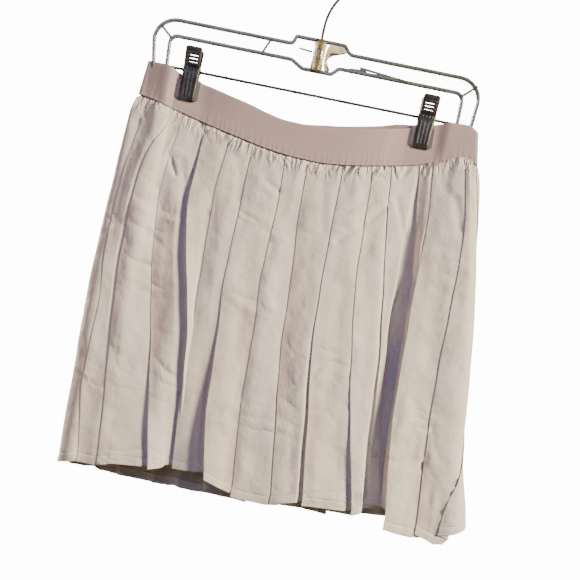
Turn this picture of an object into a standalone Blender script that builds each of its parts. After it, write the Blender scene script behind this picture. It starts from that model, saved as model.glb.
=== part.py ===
"""Pleated tennis skirt held by a two-clip hanger.

Every size below is in millimetres: x runs along the hanger's rod, y away from the skirt's front,
z up from the rod. Finished pieces are lowered so that the origin is the inner top of the hook,
where a rail holds the hanger, and are written in metres.
"""
import math

import bmesh
import bpy
import mathutils
import numpy as np

MM = 0.001
HOOK_RISE = 148.0       # inner top of the hook above the rod's level
CLEARANCE = 0.3         # gap between pieces that meet

# ---- cloth -------------------------------------------------------------------------------------
CLOTH = 1.0             # wall of the pleated panels
FOLD_RADIUS = 0.78      # bend of the cloth's middle at a pleat's edge
FLAT_STAND = 2.4        # height of a pleat's edge above the base line where it is pressed flat
FLAT_RECESS = FOLD_RADIUS
FLAT_DIVE = 2.0         # how far a pleat dives under the next where it is pressed flat
MID_DROP = 0.45         # share of the drop that the tables call half way down
CLOSE_EDGES = 12.0      # where two edges are closer, the pleat between them runs on under the next
LAP = 12.0              # how far each pleat laps over the next
SIDE_HEIGHT = 1.2       # height of the cloth above the base line at a side seam
SIDE_TOPS = (38.0, 42.0)        # drop of the waist seam at the left and right side seams
STACK_MIDDLE = 1.6      # middle of the three pressed layers above the base line
OUTLINE_INSET = 2.4     # base line inside the skirt's silhouette

# skirt's silhouette at its sides: drop below the rod, left x, right x
SILHOUETTE = (
    (38, -181, 189),
    (60, -187, 196),
    (130, -190, 207),
    (200, -192, 219),
    (270, -193, 228),
    (340, -191, 236),
    (430, -188, 257),
)

# front pleats, left to right. Columns: x of the folded edge at the six drops in FOLD_DROPS; height
# of the edge off the base line half way down and at the hem; height of the hidden inner fold
# there; width of the part that dives under the edge there; drop of the hem at the folded edge and
# at the far end of the pleat's face.
FOLD_DROPS = (45, 130, 200, 270, 340, 420)
FRONT_PLEATS = (
    (-162, -170, -170, -172, -172, -163, 3.4, 5.0, 0.5, -1.0, 2.5, 3.0, 430, 429),
    (-138, -157, -159, -154, -148, -142, 4.5, 8.5, 0.0, -2.0, 2.5, 3.0, 428, 421),
    (-125, -136, -126, -114, -102, -90, 4.5, 12.0, 0.0, -3.0, 3.0, 7.5, 422, 416),
    (-103, -102, -95, -84, -80, -76, 4.5, 3.0, 0.0, -5.0, 5.0, 3.0, 415, 413),
    (-71, -76, -76, -72, -68, -64, 5.0, 9.0, 0.0, -4.0, 2.5, 3.0, 418, 416),
    (-42, -45, -44, -41, -37, -28, 6.0, 11.0, -1.0, -4.0, 8.5, 8.0, 420, 429),
    (-13, -11, -9, -8, -4, 2, 3.6, 7.0, 0.4, -1.0, 2.5, 3.0, 433, 434),
    (12, 14, 19, 26, 33, 42, 4.6, 9.0, 0.0, -2.0, 2.5, 4.5, 432, 424),
    (49, 50, 51, 59, 67, 76, 5.0, 10.0, 0.0, -3.0, 4.0, 5.5, 426, 424),
    (80, 85, 88, 98, 109, 126, 5.5, 11.0, 0.0, -4.0, 4.0, 7.5, 427, 421),
    (100, 109, 119, 129, 139, 149, 2.8, -5.0, -3.0, -11.0, 2.5, 11.0, 415, 415),
    (121, 138, 142, 145, 149, 157, 2.0, -3.0, -5.0, -10.0, 3.0, 3.0, 415, 416),
    (145, 150, 150, 151, 154, 162, 6.5, 10.0, -2.0, -2.0, 3.0, 3.0, 434, 438),
    (158, 176, 185, 190, 192, 196, 4.0, 7.0, 0.4, -1.0, 2.5, 3.0, 434, 441),
    (174, 192, 207, 219, 226, 224, 3.6, 6.0, 0.4, -1.0, 2.5, 3.0, 430, 424),
)
HEM_LEFT = 440          # drop of the hem at the left side seam
HEM_RIGHT = 414         # drop of the hem at the right side seam
BACK_PLEATS = 14
BACK_DROOP = 13.0       # how much lower the back's hem hangs at its middle
BACK_UNEVEN = 3.0       # pleat-to-pleat change of the back's edges

# depth of the skirt's tube: half the gap between the base lines of front and back
HEM_HALF_DEPTH = 19.0
HEM_BOW = 5.0
TOP_SIDE_BEND = 3.9
HEM_SIDE_BEND = 18.0
PANEL_ROWS = (0.0, 0.05, 0.14, 0.26, 0.39, 0.52, 0.65, 0.78, 0.9, 1.0)

# ---- waistband ---------------------------------------------------------------------------------
BAND = 1.8              # elastic and its casing
BAND_LEFT = (-176.6, -180.1)    # middle of the wall at its left end: top edge, seam
BAND_RIGHT = (183.6, 189.6)
BAND_END_BEND = 4.0
BAND_GATHERS = 96
GATHER_HEIGHT = 0.45
LEGS_FROM = 145.0       # the band is smooth where the hanger's legs stand in it
PINCHED = 1.1           # half depth where a clip presses front and back together
BAND_ROWS = (0.0, 0.64, 1.0)

# waistband: x, height of the front's top edge, of the back's top edge, and of the seam below
BAND_EDGES = (
    (-181, 1.0, 1.0, -36.5),
    (-165, 0.0, -0.5, -39.3),
    (-152, -1.5, -2.0, -42.6),
    (-140, -6.5, -6.5, -45.2),
    (-129, -9.0, -9.0, -47.6),
    (-116, -12.0, -12.0, -50.8),
    (-100, -15.5, -16.5, -54.5),
    (-80, -20.5, -21.5, -59.0),
    (-60, -25.0, -26.5, -63.0),
    (-40, -30.5, -31.0, -67.0),
    (-20, -34.2, -33.0, -69.7),
    (0, -34.8, -31.0, -71.2),
    (20, -34.0, -28.0, -71.5),
    (40, -31.7, -25.2, -70.0),
    (60, -27.5, -21.3, -67.0),
    (80, -22.8, -17.0, -63.0),
    (100, -18.0, -12.0, -58.5),
    (114, -13.5, -10.5, -55.2),
    (126, -9.5, -9.0, -52.0),
    (137, -6.0, -6.0, -48.3),
    (150, -2.0, -2.0, -43.2),
    (160, -0.5, -0.5, -39.2),
    (172, 0.0, 0.0, -36.0),
    (182, -4.5, -4.5, -37.4),
    (190, -8.0, -8.0, -40.5),
)

# half depth of the waistband's loop: x, at its top edge, at its seam
BAND_DEPTHS = (
    (-172, 5.0, 5.2),
    (-156, 5.0, 4.6),
    (-143, 1.1, 2.8),
    (-129, 1.1, 2.4),
    (-115, 1.1, 2.8),
    (-98, 4.0, 5.0),
    (-70, 7.5, 8.5),
    (-30, 9.5, 10.5),
    (10, 10.0, 11.0),
    (50, 9.0, 10.0),
    (85, 6.5, 7.5),
    (100, 3.2, 4.4),
    (112, 1.1, 2.8),
    (126, 1.1, 2.4),
    (140, 1.1, 2.8),
    (154, 4.8, 4.6),
    (172, 5.2, 5.4),
)

# ---- hanger ------------------------------------------------------------------------------------
BAR_HALF = 3.2          # half the moulding's thickness
WEB_HALF = 1.0
FLANGE = 2.6
BAR_TOP = 51.0
BAR_UNDER = 31.0
CROWN_TOP = 59.5        # raised middle of the bar, round the hook
CROWN_UNDER = 23.5
CORNER = 25.0
LEG_FOOT = -10.0
ROD_LEVEL = -1.0
ROD_RADIUS = 1.5
ROD_ENDS = (-160.5, 163.5)
BORE_RADIUS = ROD_RADIUS + CLEARANCE
SOCKETS = ((-155.8, -167.0), (158.6, 169.0))    # inner and outer x of the block at each rod end
SOCKET_HALF = 2.9
SOCKET_HEIGHTS = (-6.5, 5.0)
BOSS_RADIUS = 6.5
WIRE_RADIUS = 1.5
HOOK_BEND = 21.0        # radius of the hook's loop at the middle of its wire
SHANK_FOOT = 32.0

# clip: centre x where its jaws hold, and where its handle's top leans to
CLIPS = {"left": (-129.0, -130.5), "right": (126.0, 127.5)}
PLATE = 1.0             # sheet steel
PLATE_INNER = 3.8       # inner face of a plate from the middle, on the jaws
PAD = 1.2
PAD_WIDTH = 25.0
PAD_TOP = -10.0
PAD_FOOT = -33.0
SPRING_RADIUS = 3.5
SPRING_HALF = 6.0
CHEEK_RADIUS = 3.6
CHEEK = 0.9
OUTER_CHEEK = 8.7       # from a clip's centre to its front plate's cheeks
INNER_CHEEK = 7.4       # to its back plate's

# clip plate from the tip of its handle to its lip: height, middle of the sheet from the middle
# plane, half width. Four ribs cross the handle.
CLIP_PLATE = (
    (23.5, 9.2, 5.4),
    (22.4, 9.0, 7.4),
    (20.4, 8.5, 8.0),
    (18.5, 8.9, 8.0),
    (16.4, 7.6, 8.0),
    (14.2, 7.9, 8.0),
    (12.0, 6.6, 8.0),
    (9.8, 6.9, 8.0),
    (7.6, 5.6, 8.0),
    (5.4, 5.9, 8.2),
    (3.4, 4.6, 9.0),
    (1.5, 4.3, 9.5),
    (-8.0, 4.3, 9.2),
    (-31.0, 4.3, 7.8),
    (-33.6, 4.2, 7.6),
    (-34.4, 3.2, 7.4),
)


# ---- shared makers -----------------------------------------------------------------------------
def placed(points):
    """Millimetre points above the rod's level, as metres below the hook's inner top."""
    moved = np.array(points, dtype=float)
    moved[..., 2] -= HOOK_RISE
    return moved * MM


def through(positions, knots, values):
    """Smooth curve through a table that never swings past its values.

    Cubic pieces, whose slope at each row is the harmonic mean of the slopes on its two sides, or
    level where they have opposite signs.
    """
    knots = np.asarray(knots, dtype=float)
    values = np.asarray(values, dtype=float)
    rises = np.diff(values) / np.diff(knots)
    before, after = rises[:-1], rises[1:]
    same_way = before * after > 0
    total = np.where(same_way, before + after, 1.0)
    middle = np.where(same_way, 2 * before * after / total, 0.0)
    slopes = np.concatenate([rises[:1], middle, rises[-1:]])
    index = np.clip(np.searchsorted(knots, positions) - 1, 0, len(knots) - 2)
    span = knots[index + 1] - knots[index]
    t = np.clip((positions - knots[index]) / span, 0.0, 1.0)
    start = (2 * t**3 - 3 * t**2 + 1) * values[index] + (t**3 - 2 * t**2 + t) * span * slopes[index]
    end = (3 * t**2 - 2 * t**3) * values[index + 1] + (t**3 - t**2) * span * slopes[index + 1]
    return start + end


def column(table, index):
    """One column of a table."""
    return np.array([row[index] for row in table], dtype=float)


def material(name, colour, roughness, metallic=0.0, alpha=1.0):
    """A plain Principled material."""
    made = bpy.data.materials.new(name)
    made.use_nodes = True
    shader = made.node_tree.nodes["Principled BSDF"]
    shader.inputs["Base Color"].default_value = (*colour, 1.0)
    shader.inputs["Roughness"].default_value = roughness
    shader.inputs["Metallic"].default_value = metallic
    shader.inputs["Alpha"].default_value = alpha
    return made


def add_object(name, mesh, collection, finish=None):
    """Wrap a mesh in an object and link it."""
    made = bpy.data.objects.new(name, mesh)
    collection.objects.link(made)
    if finish is not None:
        mesh.materials.clear()
        mesh.materials.append(finish)
    return made


def as_cutter(made):
    """Mark an object that only shapes another."""
    made.hide_render = True
    made.display_type = "WIRE"
    return made


def combine(target, other, operation):
    """Boolean one object with another."""
    step = target.modifiers.new(operation.lower(), "BOOLEAN")
    step.operation = operation
    step.solver = "EXACT"
    step.object = as_cutter(other)


def joined(name, pieces, collection):
    """Pieces that don't touch each other, as one object."""
    shape = bmesh.new()
    for piece in pieces:
        shape.from_mesh(piece.data)
        bpy.data.objects.remove(piece)
    mesh = bpy.data.meshes.new(name)
    shape.to_mesh(mesh)
    shape.free()
    return add_object(name, mesh, collection)


def from_curve(name, data, collection, finish=None, turn=(0.0, 0.0, 0.0)):
    """Turn curve data into a welded mesh object."""
    guide = bpy.data.objects.new(name + "_guide", data)
    guide.rotation_euler = turn
    bpy.context.scene.collection.objects.link(guide)
    bpy.context.view_layer.update()
    graph = bpy.context.evaluated_depsgraph_get()
    mesh = bpy.data.meshes.new_from_object(guide.evaluated_get(graph))
    mesh.transform(guide.matrix_world)
    shape = bmesh.new()
    shape.from_mesh(mesh)
    bmesh.ops.remove_doubles(shape, verts=shape.verts, dist=0.00002)
    bmesh.ops.recalc_face_normals(shape, faces=shape.faces)
    shape.to_mesh(mesh)
    shape.free()
    bpy.data.objects.remove(guide)
    return add_object(name, mesh, collection, finish)


def flat_plate(name, outlines, near, far, collection, finish=None):
    """Closed outlines in x and z, filled between two distances from the middle plane."""
    data = bpy.data.curves.new(name, "CURVE")
    data.dimensions = "2D"
    data.fill_mode = "BOTH"
    data.extrude = abs(far - near) / 2 * MM
    for outline in outlines:
        spline = data.splines.new("POLY")
        spline.points.add(len(outline) - 1)
        spline.use_cyclic_u = True
        for point, (x, z) in zip(spline.points, outline):
            point.co = (x * MM, (z - HOOK_RISE) * MM, 0.0, 1.0)
    made = from_curve(name, data, collection, finish, turn=(math.pi / 2, 0.0, 0.0))
    middle = (near + far) / 2 * MM
    for vertex in made.data.vertices:
        vertex.co.y += middle
    return made


def flanged_plate(name, outline, collection, finish):
    """A thin web whose edge is thickened all round into a flange, as one closed skin."""
    rim = inset(outline, FLANGE)
    rings = ((rim, -WEB_HALF), (rim, -BAR_HALF), (outline, -BAR_HALF),
             (outline, BAR_HALF), (rim, BAR_HALF), (rim, WEB_HALF))
    shape = bmesh.new()
    loops = []
    for ring, y in rings:
        loops.append([shape.verts.new(placed((x, y, z))) for x, z in ring])
    for ring, following in zip(loops, loops[1:]):
        for index in range(len(ring)):
            after = (index + 1) % len(ring)
            shape.faces.new((ring[index], ring[after], following[after], following[index]))
    web = mathutils.geometry.tessellate_polygon([[mathutils.Vector((x, z, 0)) for x, z in rim]])
    for loop in (loops[0], loops[-1]):
        for corners in web:
            shape.faces.new([loop[corner] for corner in corners])
    bmesh.ops.recalc_face_normals(shape, faces=shape.faces)
    mesh = bpy.data.meshes.new(name)
    shape.to_mesh(mesh)
    shape.free()
    return add_object(name, mesh, collection, finish)


def box(name, low, high, collection):
    """Axis-aligned block between two corners."""
    shape = bmesh.new()
    bmesh.ops.create_cube(shape, size=1.0)
    low, high = placed(low), placed(high)
    for vertex in shape.verts:
        for axis in range(3):
            vertex.co[axis] = low[axis] if vertex.co[axis] < 0 else high[axis]
    mesh = bpy.data.meshes.new(name)
    shape.to_mesh(mesh)
    shape.free()
    return add_object(name, mesh, collection)


def cylinder(name, start, end, radius, sides, collection, finish=None):
    """Round bar from one point to another."""
    start, end = (mathutils.Vector(placed(point)) for point in (start, end))
    shape = bmesh.new()
    bmesh.ops.create_cone(shape, cap_ends=True, segments=sides, radius1=radius * MM,
                          radius2=radius * MM, depth=(end - start).length)
    turn = (end - start).to_track_quat("Z", "Y").to_matrix().to_4x4()
    bmesh.ops.transform(shape, matrix=mathutils.Matrix.Translation((start + end) / 2) @ turn,
                        verts=shape.verts)
    mesh = bpy.data.meshes.new(name)
    shape.to_mesh(mesh)
    shape.free()
    return add_object(name, mesh, collection, finish)


def walled(name, outer, inner, closed, collection, finish):
    """Closed solid between two grids of points, rows down and columns along the cloth."""
    rows, columns = outer.shape[:2]
    points = placed(np.concatenate([outer.reshape(-1, 3), inner.reshape(-1, 3)]))
    inner_start = rows * columns

    def at(row, col, inside):
        return inside * inner_start + row * columns + col % columns

    faces = []

    def quad(a, b, c, d, crossed=False):
        faces.extend([(b, c, d), (b, d, a)] if crossed else [(a, b, c), (a, c, d)])

    # layers that lie on each other are split along diagonals that run the same way in space
    last = columns if closed else columns - 1
    for col in range(last):
        back = bool(np.mean(outer[:, (col + 1) % columns, 0] - outer[:, col, 0]) < 0)
        for row in range(rows - 1):
            quad(at(row, col, 0), at(row + 1, col, 0), at(row + 1, col + 1, 0),
                 at(row, col + 1, 0), back)
            quad(at(row, col, 1), at(row, col + 1, 1), at(row + 1, col + 1, 1),
                 at(row + 1, col, 1), back)
        quad(at(0, col, 0), at(0, col + 1, 0), at(0, col + 1, 1), at(0, col, 1))
        foot = rows - 1
        quad(at(foot, col, 1), at(foot, col + 1, 1), at(foot, col + 1, 0), at(foot, col, 0))
    if not closed:
        for row in range(rows - 1):
            quad(at(row, 0, 1), at(row + 1, 0, 1), at(row + 1, 0, 0), at(row, 0, 0))
            end = columns - 1
            quad(at(row, end, 0), at(row + 1, end, 0), at(row + 1, end, 1), at(row, end, 1))
    mesh = bpy.data.meshes.new(name)
    mesh.from_pydata(points.tolist(), [], faces)
    mesh.validate()
    return add_object(name, mesh, collection, finish)


def sides_of(line, wall, closed, end_normals=None):
    """Outer and inner lines of a wall along plan lines (rows, columns, 2), mitred at each bend.

    The line runs with its outer side on its right, seen from above.
    """
    ahead = (np.roll(line, -1, axis=1) if closed else line[:, 1:]) - (line if closed else line[:, :-1])
    ahead /= np.linalg.norm(ahead, axis=2, keepdims=True)
    across = np.stack([ahead[..., 1], -ahead[..., 0]], axis=2)
    if closed:
        before, after = np.roll(across, 1, axis=1), across
    else:
        before = np.concatenate([across[:, :1], across], axis=1)
        after = np.concatenate([across, across[:, -1:]], axis=1)
    mitre = (before + after) / (1.0 + np.sum(before * after, axis=2, keepdims=True))
    if end_normals is not None:
        mitre[:, 0], mitre[:, -1] = end_normals
    return line + mitre * wall / 2, line - mitre * wall / 2


# ---- cloth shapes ------------------------------------------------------------------------------
def seam_height(x):
    """Height of the waistband's lower seam."""
    return through(x, column(BAND_EDGES, 0), column(BAND_EDGES, 3))


def seam_heights(*lines):
    """Heights of the seam over the middle and both faces of a wall's edge, one row for each."""
    return np.array([seam_height(line) for line in lines])


def closing(x, left, right, bend):
    """1 across a flattened tube, falling to 0 on a quarter ellipse at each end."""
    inside = np.clip(np.minimum(x - left, right - x) / bend, 0.0, 1.0)
    return np.sqrt(np.clip(1.0 - (1.0 - inside) ** 2, 0.0, 1.0))


def base_line(down, left, right, seen_from):
    """Plan line of a panel's innermost layer at a share `down` of its drop, from side to side.

    Returns distance along the line, points and outward directions, in the panel's own plan: x to
    the right and y away from someone who faces the panel. seen_from is +1 in front, -1 behind.
    """
    turn = np.linspace(0.0, math.pi, 481)
    x = left + (right - left) * (1.0 - np.cos(turn)) / 2
    body_x = x * seen_from
    top = through(body_x, column(BAND_DEPTHS, 0), column(BAND_DEPTHS, 2)) - STACK_MIDDLE
    middle, half = (left + right) / 2, (right - left) / 2
    hem = HEM_HALF_DEPTH + HEM_BOW * (1.0 - ((x - middle) / half) ** 2)
    depth = top + (hem - top) * down**0.8
    bend = TOP_SIDE_BEND + (HEM_SIDE_BEND - TOP_SIDE_BEND) * down**0.5
    y = -depth * closing(x, left, right, bend)
    points = np.stack([x, y], axis=1)
    steps = np.linalg.norm(np.diff(points, axis=0), axis=1)
    along = np.concatenate([[0.0], np.cumsum(steps)])
    ahead = np.gradient(points, along, axis=0)
    ahead /= np.linalg.norm(ahead, axis=1, keepdims=True)
    outward = np.stack([ahead[:, 1], -ahead[:, 0]], axis=1)
    return along, points, outward


def between(positions, along, values):
    """Read each column of values at distances along a line."""
    return np.stack([np.interp(positions, along, values[:, i]) for i in range(2)], axis=-1)


def pleated_panel(pleats, hem_start, hem_end, seen_from):
    """Outer and inner grids of one panel of knife pleats, in the panel's own plan.

    Each pleat is a Z: the face before it dives under the folded edge, turns back at a hidden
    inner fold, runs to the folded edge, and turns again into the pleat's own face.
    """
    down = np.array(PANEL_ROWS)
    silhouette_drops = column(SILHOUETTE, 0)
    count = len(pleats)
    hem_edge, hem_face = column(pleats, 12), column(pleats, 13)
    near_top = np.array([60.0])
    edge_x = np.array([through(near_top, FOLD_DROPS, row[:6])[0] for row in pleats])
    top_edge = -seam_height(edge_x * seen_from) + CLEARANCE
    sides = (-1, 1) if seen_from > 0 else (1, -1)
    lines = []
    for share in down:
        ends = []
        for side, hem in zip(sides, (hem_start, hem_end)):
            limit = column(SILHOUETTE, 1 if side < 0 else 2)
            start = SIDE_TOPS[0 if side < 0 else 1]
            reach = through(np.array([start + share * (hem - start)]), silhouette_drops, limit)[0]
            ends.append((reach - side * OUTLINE_INSET) * seen_from)
        lines.append(base_line(share, ends[0], ends[1], seen_from))

    edge, stand, recess, dive = (np.zeros((len(down), count)) for _ in range(4))
    for index, row in enumerate(pleats):
        drop = top_edge[index] + down * (hem_edge[index] - top_edge[index])
        x = through(drop, FOLD_DROPS, row[:6])
        for level, (along, points, _) in enumerate(lines):
            edge[level, index] = np.interp(x[level], points[:, 0], along)
        levels = (0.0, MID_DROP, 1.0)
        stand[:, index] = through(down, levels, (FLAT_STAND, row[6], row[7]))
        recess[:, index] = through(down, levels, (FLAT_RECESS, row[8], row[9]))
        dive[:, index] = through(down, levels, (FLAT_DIVE, row[10], row[11]))
    length = np.array([line[0][-1] for line in lines])
    dive[:, 1:] = np.minimum(dive[:, 1:], np.diff(edge, axis=1) - CLOSE_EDGES)
    following = np.concatenate([edge[:, 1:] - dive[:, 1:], (length - 3.0)[:, None]], axis=1)
    lap = np.clip(following - edge - 3.0, 2.0, np.maximum(LAP, 4.0 - dive))
    lap[:, -1] = np.clip(0.4 * (length - edge[:, -1]), 2.0, LAP)
    r = FOLD_RADIUS
    part = np.clip((lap + 1.0) / (following - edge), 0.2, 0.8)
    face = np.zeros_like(stand)
    shoulder = np.zeros_like(stand)
    for k in range(count):
        covered = np.clip(-dive[:, k] / 4.0, 0.0, 1.0)
        if k:
            lowest = face[:, k - 1] + r
            recess[:, k] += covered * np.maximum(lowest - recess[:, k], 0.0)
        stand[:, k] = np.maximum(stand[:, k], recess[:, k] + 2 * r)
        opened = stand[:, k] - recess[:, k] - 2 * r
        rise = 0.6 * np.clip(lap[:, k] / 9.0, 0.3, 1.0)
        shoulder[:, k] = recess[:, k] - r + (1.0 - covered) * (0.25 + rise * opened)
        line_height = stand[:, k] + r + part[:, k] * (recess[:, k] - stand[:, k] - r)
        face[:, k] = np.maximum(line_height + 1.1, recess[:, k] + 3 * r)

    places, heights, hems = [], [], []

    def add(place, height, hem):
        places.append(place)
        heights.append(height)
        hems.append(hem)

    start = np.full(len(down), CLEARANCE / 2)
    side = np.full(len(down), SIDE_HEIGHT)
    add(start, side, hem_start)
    for share in (0.34, 0.68):
        first = edge[:, 0] - dive[:, 0]
        add(share * first, side + share * (shoulder[:, 0] + 1.0 - side),
            hem_start + share * (hem_edge[0] - hem_start))
    add(edge[:, 0] - dive[:, 0], shoulder[:, 0], hem_edge[0])
    for k in range(count):
        e, top, low, over = edge[:, k], stand[:, k], recess[:, k], lap[:, k]
        hidden = (hem_edge[k] + (hem_face[k - 1] if k else hem_edge[k])) / 2 - 2.0
        add(e + over - r, low - r, hidden)
        add(e + over, low, hidden)
        add(e + over - r, low + r, hidden)
        lean = np.arctan2(np.maximum(top - low - 2 * r, 0.0), np.maximum(over - 2 * r, 0.3))
        back, dip = r * np.cos(lean), r * np.sin(lean)
        add(e + back - dip, top - dip - back, hem_edge[k] - 1.0)
        add(e, top, hem_edge[k])
        add(e + back + dip, top - dip + back, hem_edge[k])
        if k + 1 < count:
            end, end_height, end_hem = following[:, k], shoulder[:, k + 1], hem_face[k]
        else:
            end, end_height, end_hem = length - CLEARANCE / 2, side, hem_end
        add(e + over + 1.0, face[:, k], hem_edge[k] + 0.5 * (end_hem - hem_edge[k]))
        if k + 1 == count:
            for share in (0.34, 0.68):
                add(e + over + 1.0 + share * (end - e - over - 1.0),
                    face[:, k] + share * (end_height - face[:, k]) + 0.3,
                    hem_edge[k] + (0.5 + 0.5 * share) * (end_hem - hem_edge[k]))
        add(end, end_height, end_hem)

    places, heights, hems = np.array(places).T, np.array(heights).T, np.array(hems, dtype=float)
    plan = np.zeros((*places.shape, 2))
    ends = []
    for level, (along, points, outward) in enumerate(lines):
        directions = between(places[level], along, outward)
        plan[level] = between(places[level], along, points) + directions * heights[level][:, None]
    for index in (0, -1):
        sign = -1.0 if index == 0 else 1.0
        ends.append(np.tile((sign, 0.0), (len(down), 1)))
    outer, inner = sides_of(plan, CLOTH, False, ends)
    walls = (grid[0, :, 0] * seen_from for grid in (plan, outer, inner))
    top_z = seam_heights(*walls).min(axis=0) - CLEARANCE
    z = top_z + down[:, None] * (-hems - top_z)
    return tuple(np.concatenate([grid, z[..., None]], axis=2) for grid in (outer, inner))


def back_pleats():
    """Pleat rows of the back, evenly spread with small changes, in the back's own plan."""
    rows = []
    left, right = -column(SILHOUETTE, 2), -column(SILHOUETTE, 1)
    for index in range(BACK_PLEATS):
        place = (index + 0.75 + 0.14 * math.sin(2.4 * index)) / (BACK_PLEATS + 0.3)
        x = [float(np.interp(drop, column(SILHOUETTE, 0), left + place * (right - left)))
             for drop in FOLD_DROPS]
        wave = math.sin(1.9 * index + 0.6)
        droop = BACK_DROOP * (1.0 - (2.0 * place - 1.0) ** 2)
        hem = HEM_RIGHT + 26.0 * place**0.35 + droop + BACK_UNEVEN * wave
        rows.append((*x, 4.6 + 0.8 * wave, 8.5 + 2.0 * wave, 0.0, -2.5, 3.2, 5.0,
                     hem, hem - 3.0 * wave))
    return rows


def make_panels(collection, finish):
    """Front and back of the skirt."""
    outer, inner = pleated_panel(FRONT_PLEATS, HEM_LEFT, HEM_RIGHT, 1)
    walled("skirt_front", outer, inner, False, collection, finish)
    outer, inner = pleated_panel(back_pleats(), HEM_RIGHT, HEM_LEFT, -1)
    half_turn = np.array([-1.0, -1.0, 1.0])
    walled("skirt_back", outer * half_turn, inner * half_turn, False, collection, finish)


def make_waistband(collection, finish):
    """Gathered elastic band: one loop, pressed flat at the clips and open between them."""
    columns = 2 * BAND_GATHERS
    outer_rows, inner_rows = [], []
    for share in BAND_ROWS:
        left = BAND_LEFT[0] + share * (BAND_LEFT[1] - BAND_LEFT[0])
        right = BAND_RIGHT[0] + share * (BAND_RIGHT[1] - BAND_RIGHT[0])
        turn = np.linspace(0.0, math.pi, 481)
        x = left + (right - left) * (1.0 - np.cos(turn)) / 2
        depth_column = 2 if share == 1.0 else 1
        depth = through(x, column(BAND_DEPTHS, 0), column(BAND_DEPTHS, depth_column))
        y = -depth * closing(x, left, right, BAND_END_BEND)
        loop = np.concatenate([np.stack([x, y], axis=1), np.stack([x[::-1], -y[::-1]], axis=1)[1:]])
        along = np.concatenate([[0.0], np.cumsum(np.linalg.norm(np.diff(loop, axis=0), axis=1))])
        place = np.arange(columns) / columns * along[-1]
        line = between(place, along, loop)
        loose = np.clip((np.abs(line[:, 1]) - PINCHED - 0.2) / 2.0, 0.0, 1.0)
        ripple = GATHER_HEIGHT * loose * np.where(np.arange(columns) % 2, 1.0, -1.0)
        ripple[np.abs(line[:, 0]) > LEGS_FROM] = 0.0
        line[:, 1] += ripple * np.sign(line[:, 1])
        outer, inner = sides_of(line[None], BAND, True)
        front = line[:, 1] <= 0
        top_x = BAND_LEFT[0] + (line[:, 0] - left) / (right - left) * (BAND_RIGHT[0] - BAND_LEFT[0])
        low_x = BAND_LEFT[1] + (line[:, 0] - left) / (right - left) * (BAND_RIGHT[1] - BAND_LEFT[1])
        edges_x = column(BAND_EDGES, 0)
        top = np.where(front, through(top_x, edges_x, column(BAND_EDGES, 1)),
                       through(top_x, edges_x, column(BAND_EDGES, 2)))
        shift = outer[0, :, 0] - line[:, 0]
        seam = seam_heights(low_x, low_x - shift, low_x + shift).max(axis=0)
        z = (top + share * (seam - top))[None, :, None]
        outer_rows.append(np.concatenate([outer, z], axis=2)[0])
        inner_rows.append(np.concatenate([inner, z], axis=2)[0])
    walled("waistband", np.array(outer_rows), np.array(inner_rows), True, collection, finish)


# ---- hanger shapes -----------------------------------------------------------------------------
def arc(centre, radius, start, end, steps):
    """Points round part of a circle, angles in degrees."""
    angles = np.radians(np.linspace(start, end, steps + 1))
    return [(centre[0] + radius * math.cos(a), centre[1] + radius * math.sin(a)) for a in angles]


def hanger_outline():
    """Front outline of the moulded bar and its legs, clockwise from the left foot."""
    return [
        (-171.5, LEG_FOOT), (-178.0, BAR_TOP - CORNER),
        *arc((-178.0 + CORNER, BAR_TOP - CORNER), CORNER, 165, 90, 5),
        (-31.0, BAR_TOP), (-28.0, CROWN_TOP), (27.0, CROWN_TOP), (34.0, BAR_TOP),
        *arc((179.0 - CORNER, BAR_TOP - CORNER), CORNER, 90, 15, 5),
        (179.0, BAR_TOP - CORNER), (176.0, LEG_FOOT),
        (158.0, LEG_FOOT), (158.5, BAR_UNDER - 4.0), (154.5, BAR_UNDER),
        (25.0, BAR_UNDER), (18.0, CROWN_UNDER), (-15.0, CROWN_UNDER), (-28.0, BAR_UNDER),
        (-153.5, BAR_UNDER), (-157.5, BAR_UNDER - 4.0), (-155.0, LEG_FOOT),
    ]


def inset(outline, distance):
    """The outline moved inwards, mitred; the outline runs clockwise."""
    points = np.array(outline)
    ahead = np.roll(points, -1, axis=0) - points
    ahead /= np.linalg.norm(ahead, axis=1, keepdims=True)
    inward = np.stack([ahead[:, 1], -ahead[:, 0]], axis=1)
    before = np.roll(inward, 1, axis=0)
    mitre = (before + inward) / (1.0 + np.sum(before * inward, axis=1, keepdims=True))
    return [tuple(point) for point in points + mitre * distance]


def make_hanger(collection, cutters, plastic):
    """Clear moulding: a web with flanged edges, a boss for the hook and a socket at each rod end."""
    body = flanged_plate("hanger_body", hanger_outline(), collection, plastic)
    solid = [cylinder("boss", (0, 0, CROWN_UNDER + 1.0), (0, 0, CROWN_TOP - 0.6), BOSS_RADIUS, 20,
                      cutters)]
    hollow = [cylinder("hook_bore", (0, 0, SHANK_FOOT - CLEARANCE), (0, 0, CROWN_TOP + 5.0),
                       WIRE_RADIUS + CLEARANCE, 16, cutters)]
    for number, (inner, outer) in enumerate(SOCKETS):
        low, high = sorted((inner, outer))
        solid.append(box(f"socket_{number}", (low, -SOCKET_HALF, SOCKET_HEIGHTS[0]),
                         (high, SOCKET_HALF, SOCKET_HEIGHTS[1]), cutters))
        way = math.copysign(1.0, outer)
        hollow.append(cylinder(f"rod_bore_{number}", (inner - way * 6.0, 0, ROD_LEVEL),
                               (ROD_ENDS[number] + way * CLEARANCE, 0, ROD_LEVEL), BORE_RADIUS, 16,
                               cutters))
    combine(body, joined("boss_and_sockets", solid, cutters), "UNION")
    combine(body, joined("bores", hollow, cutters), "DIFFERENCE")


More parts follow.
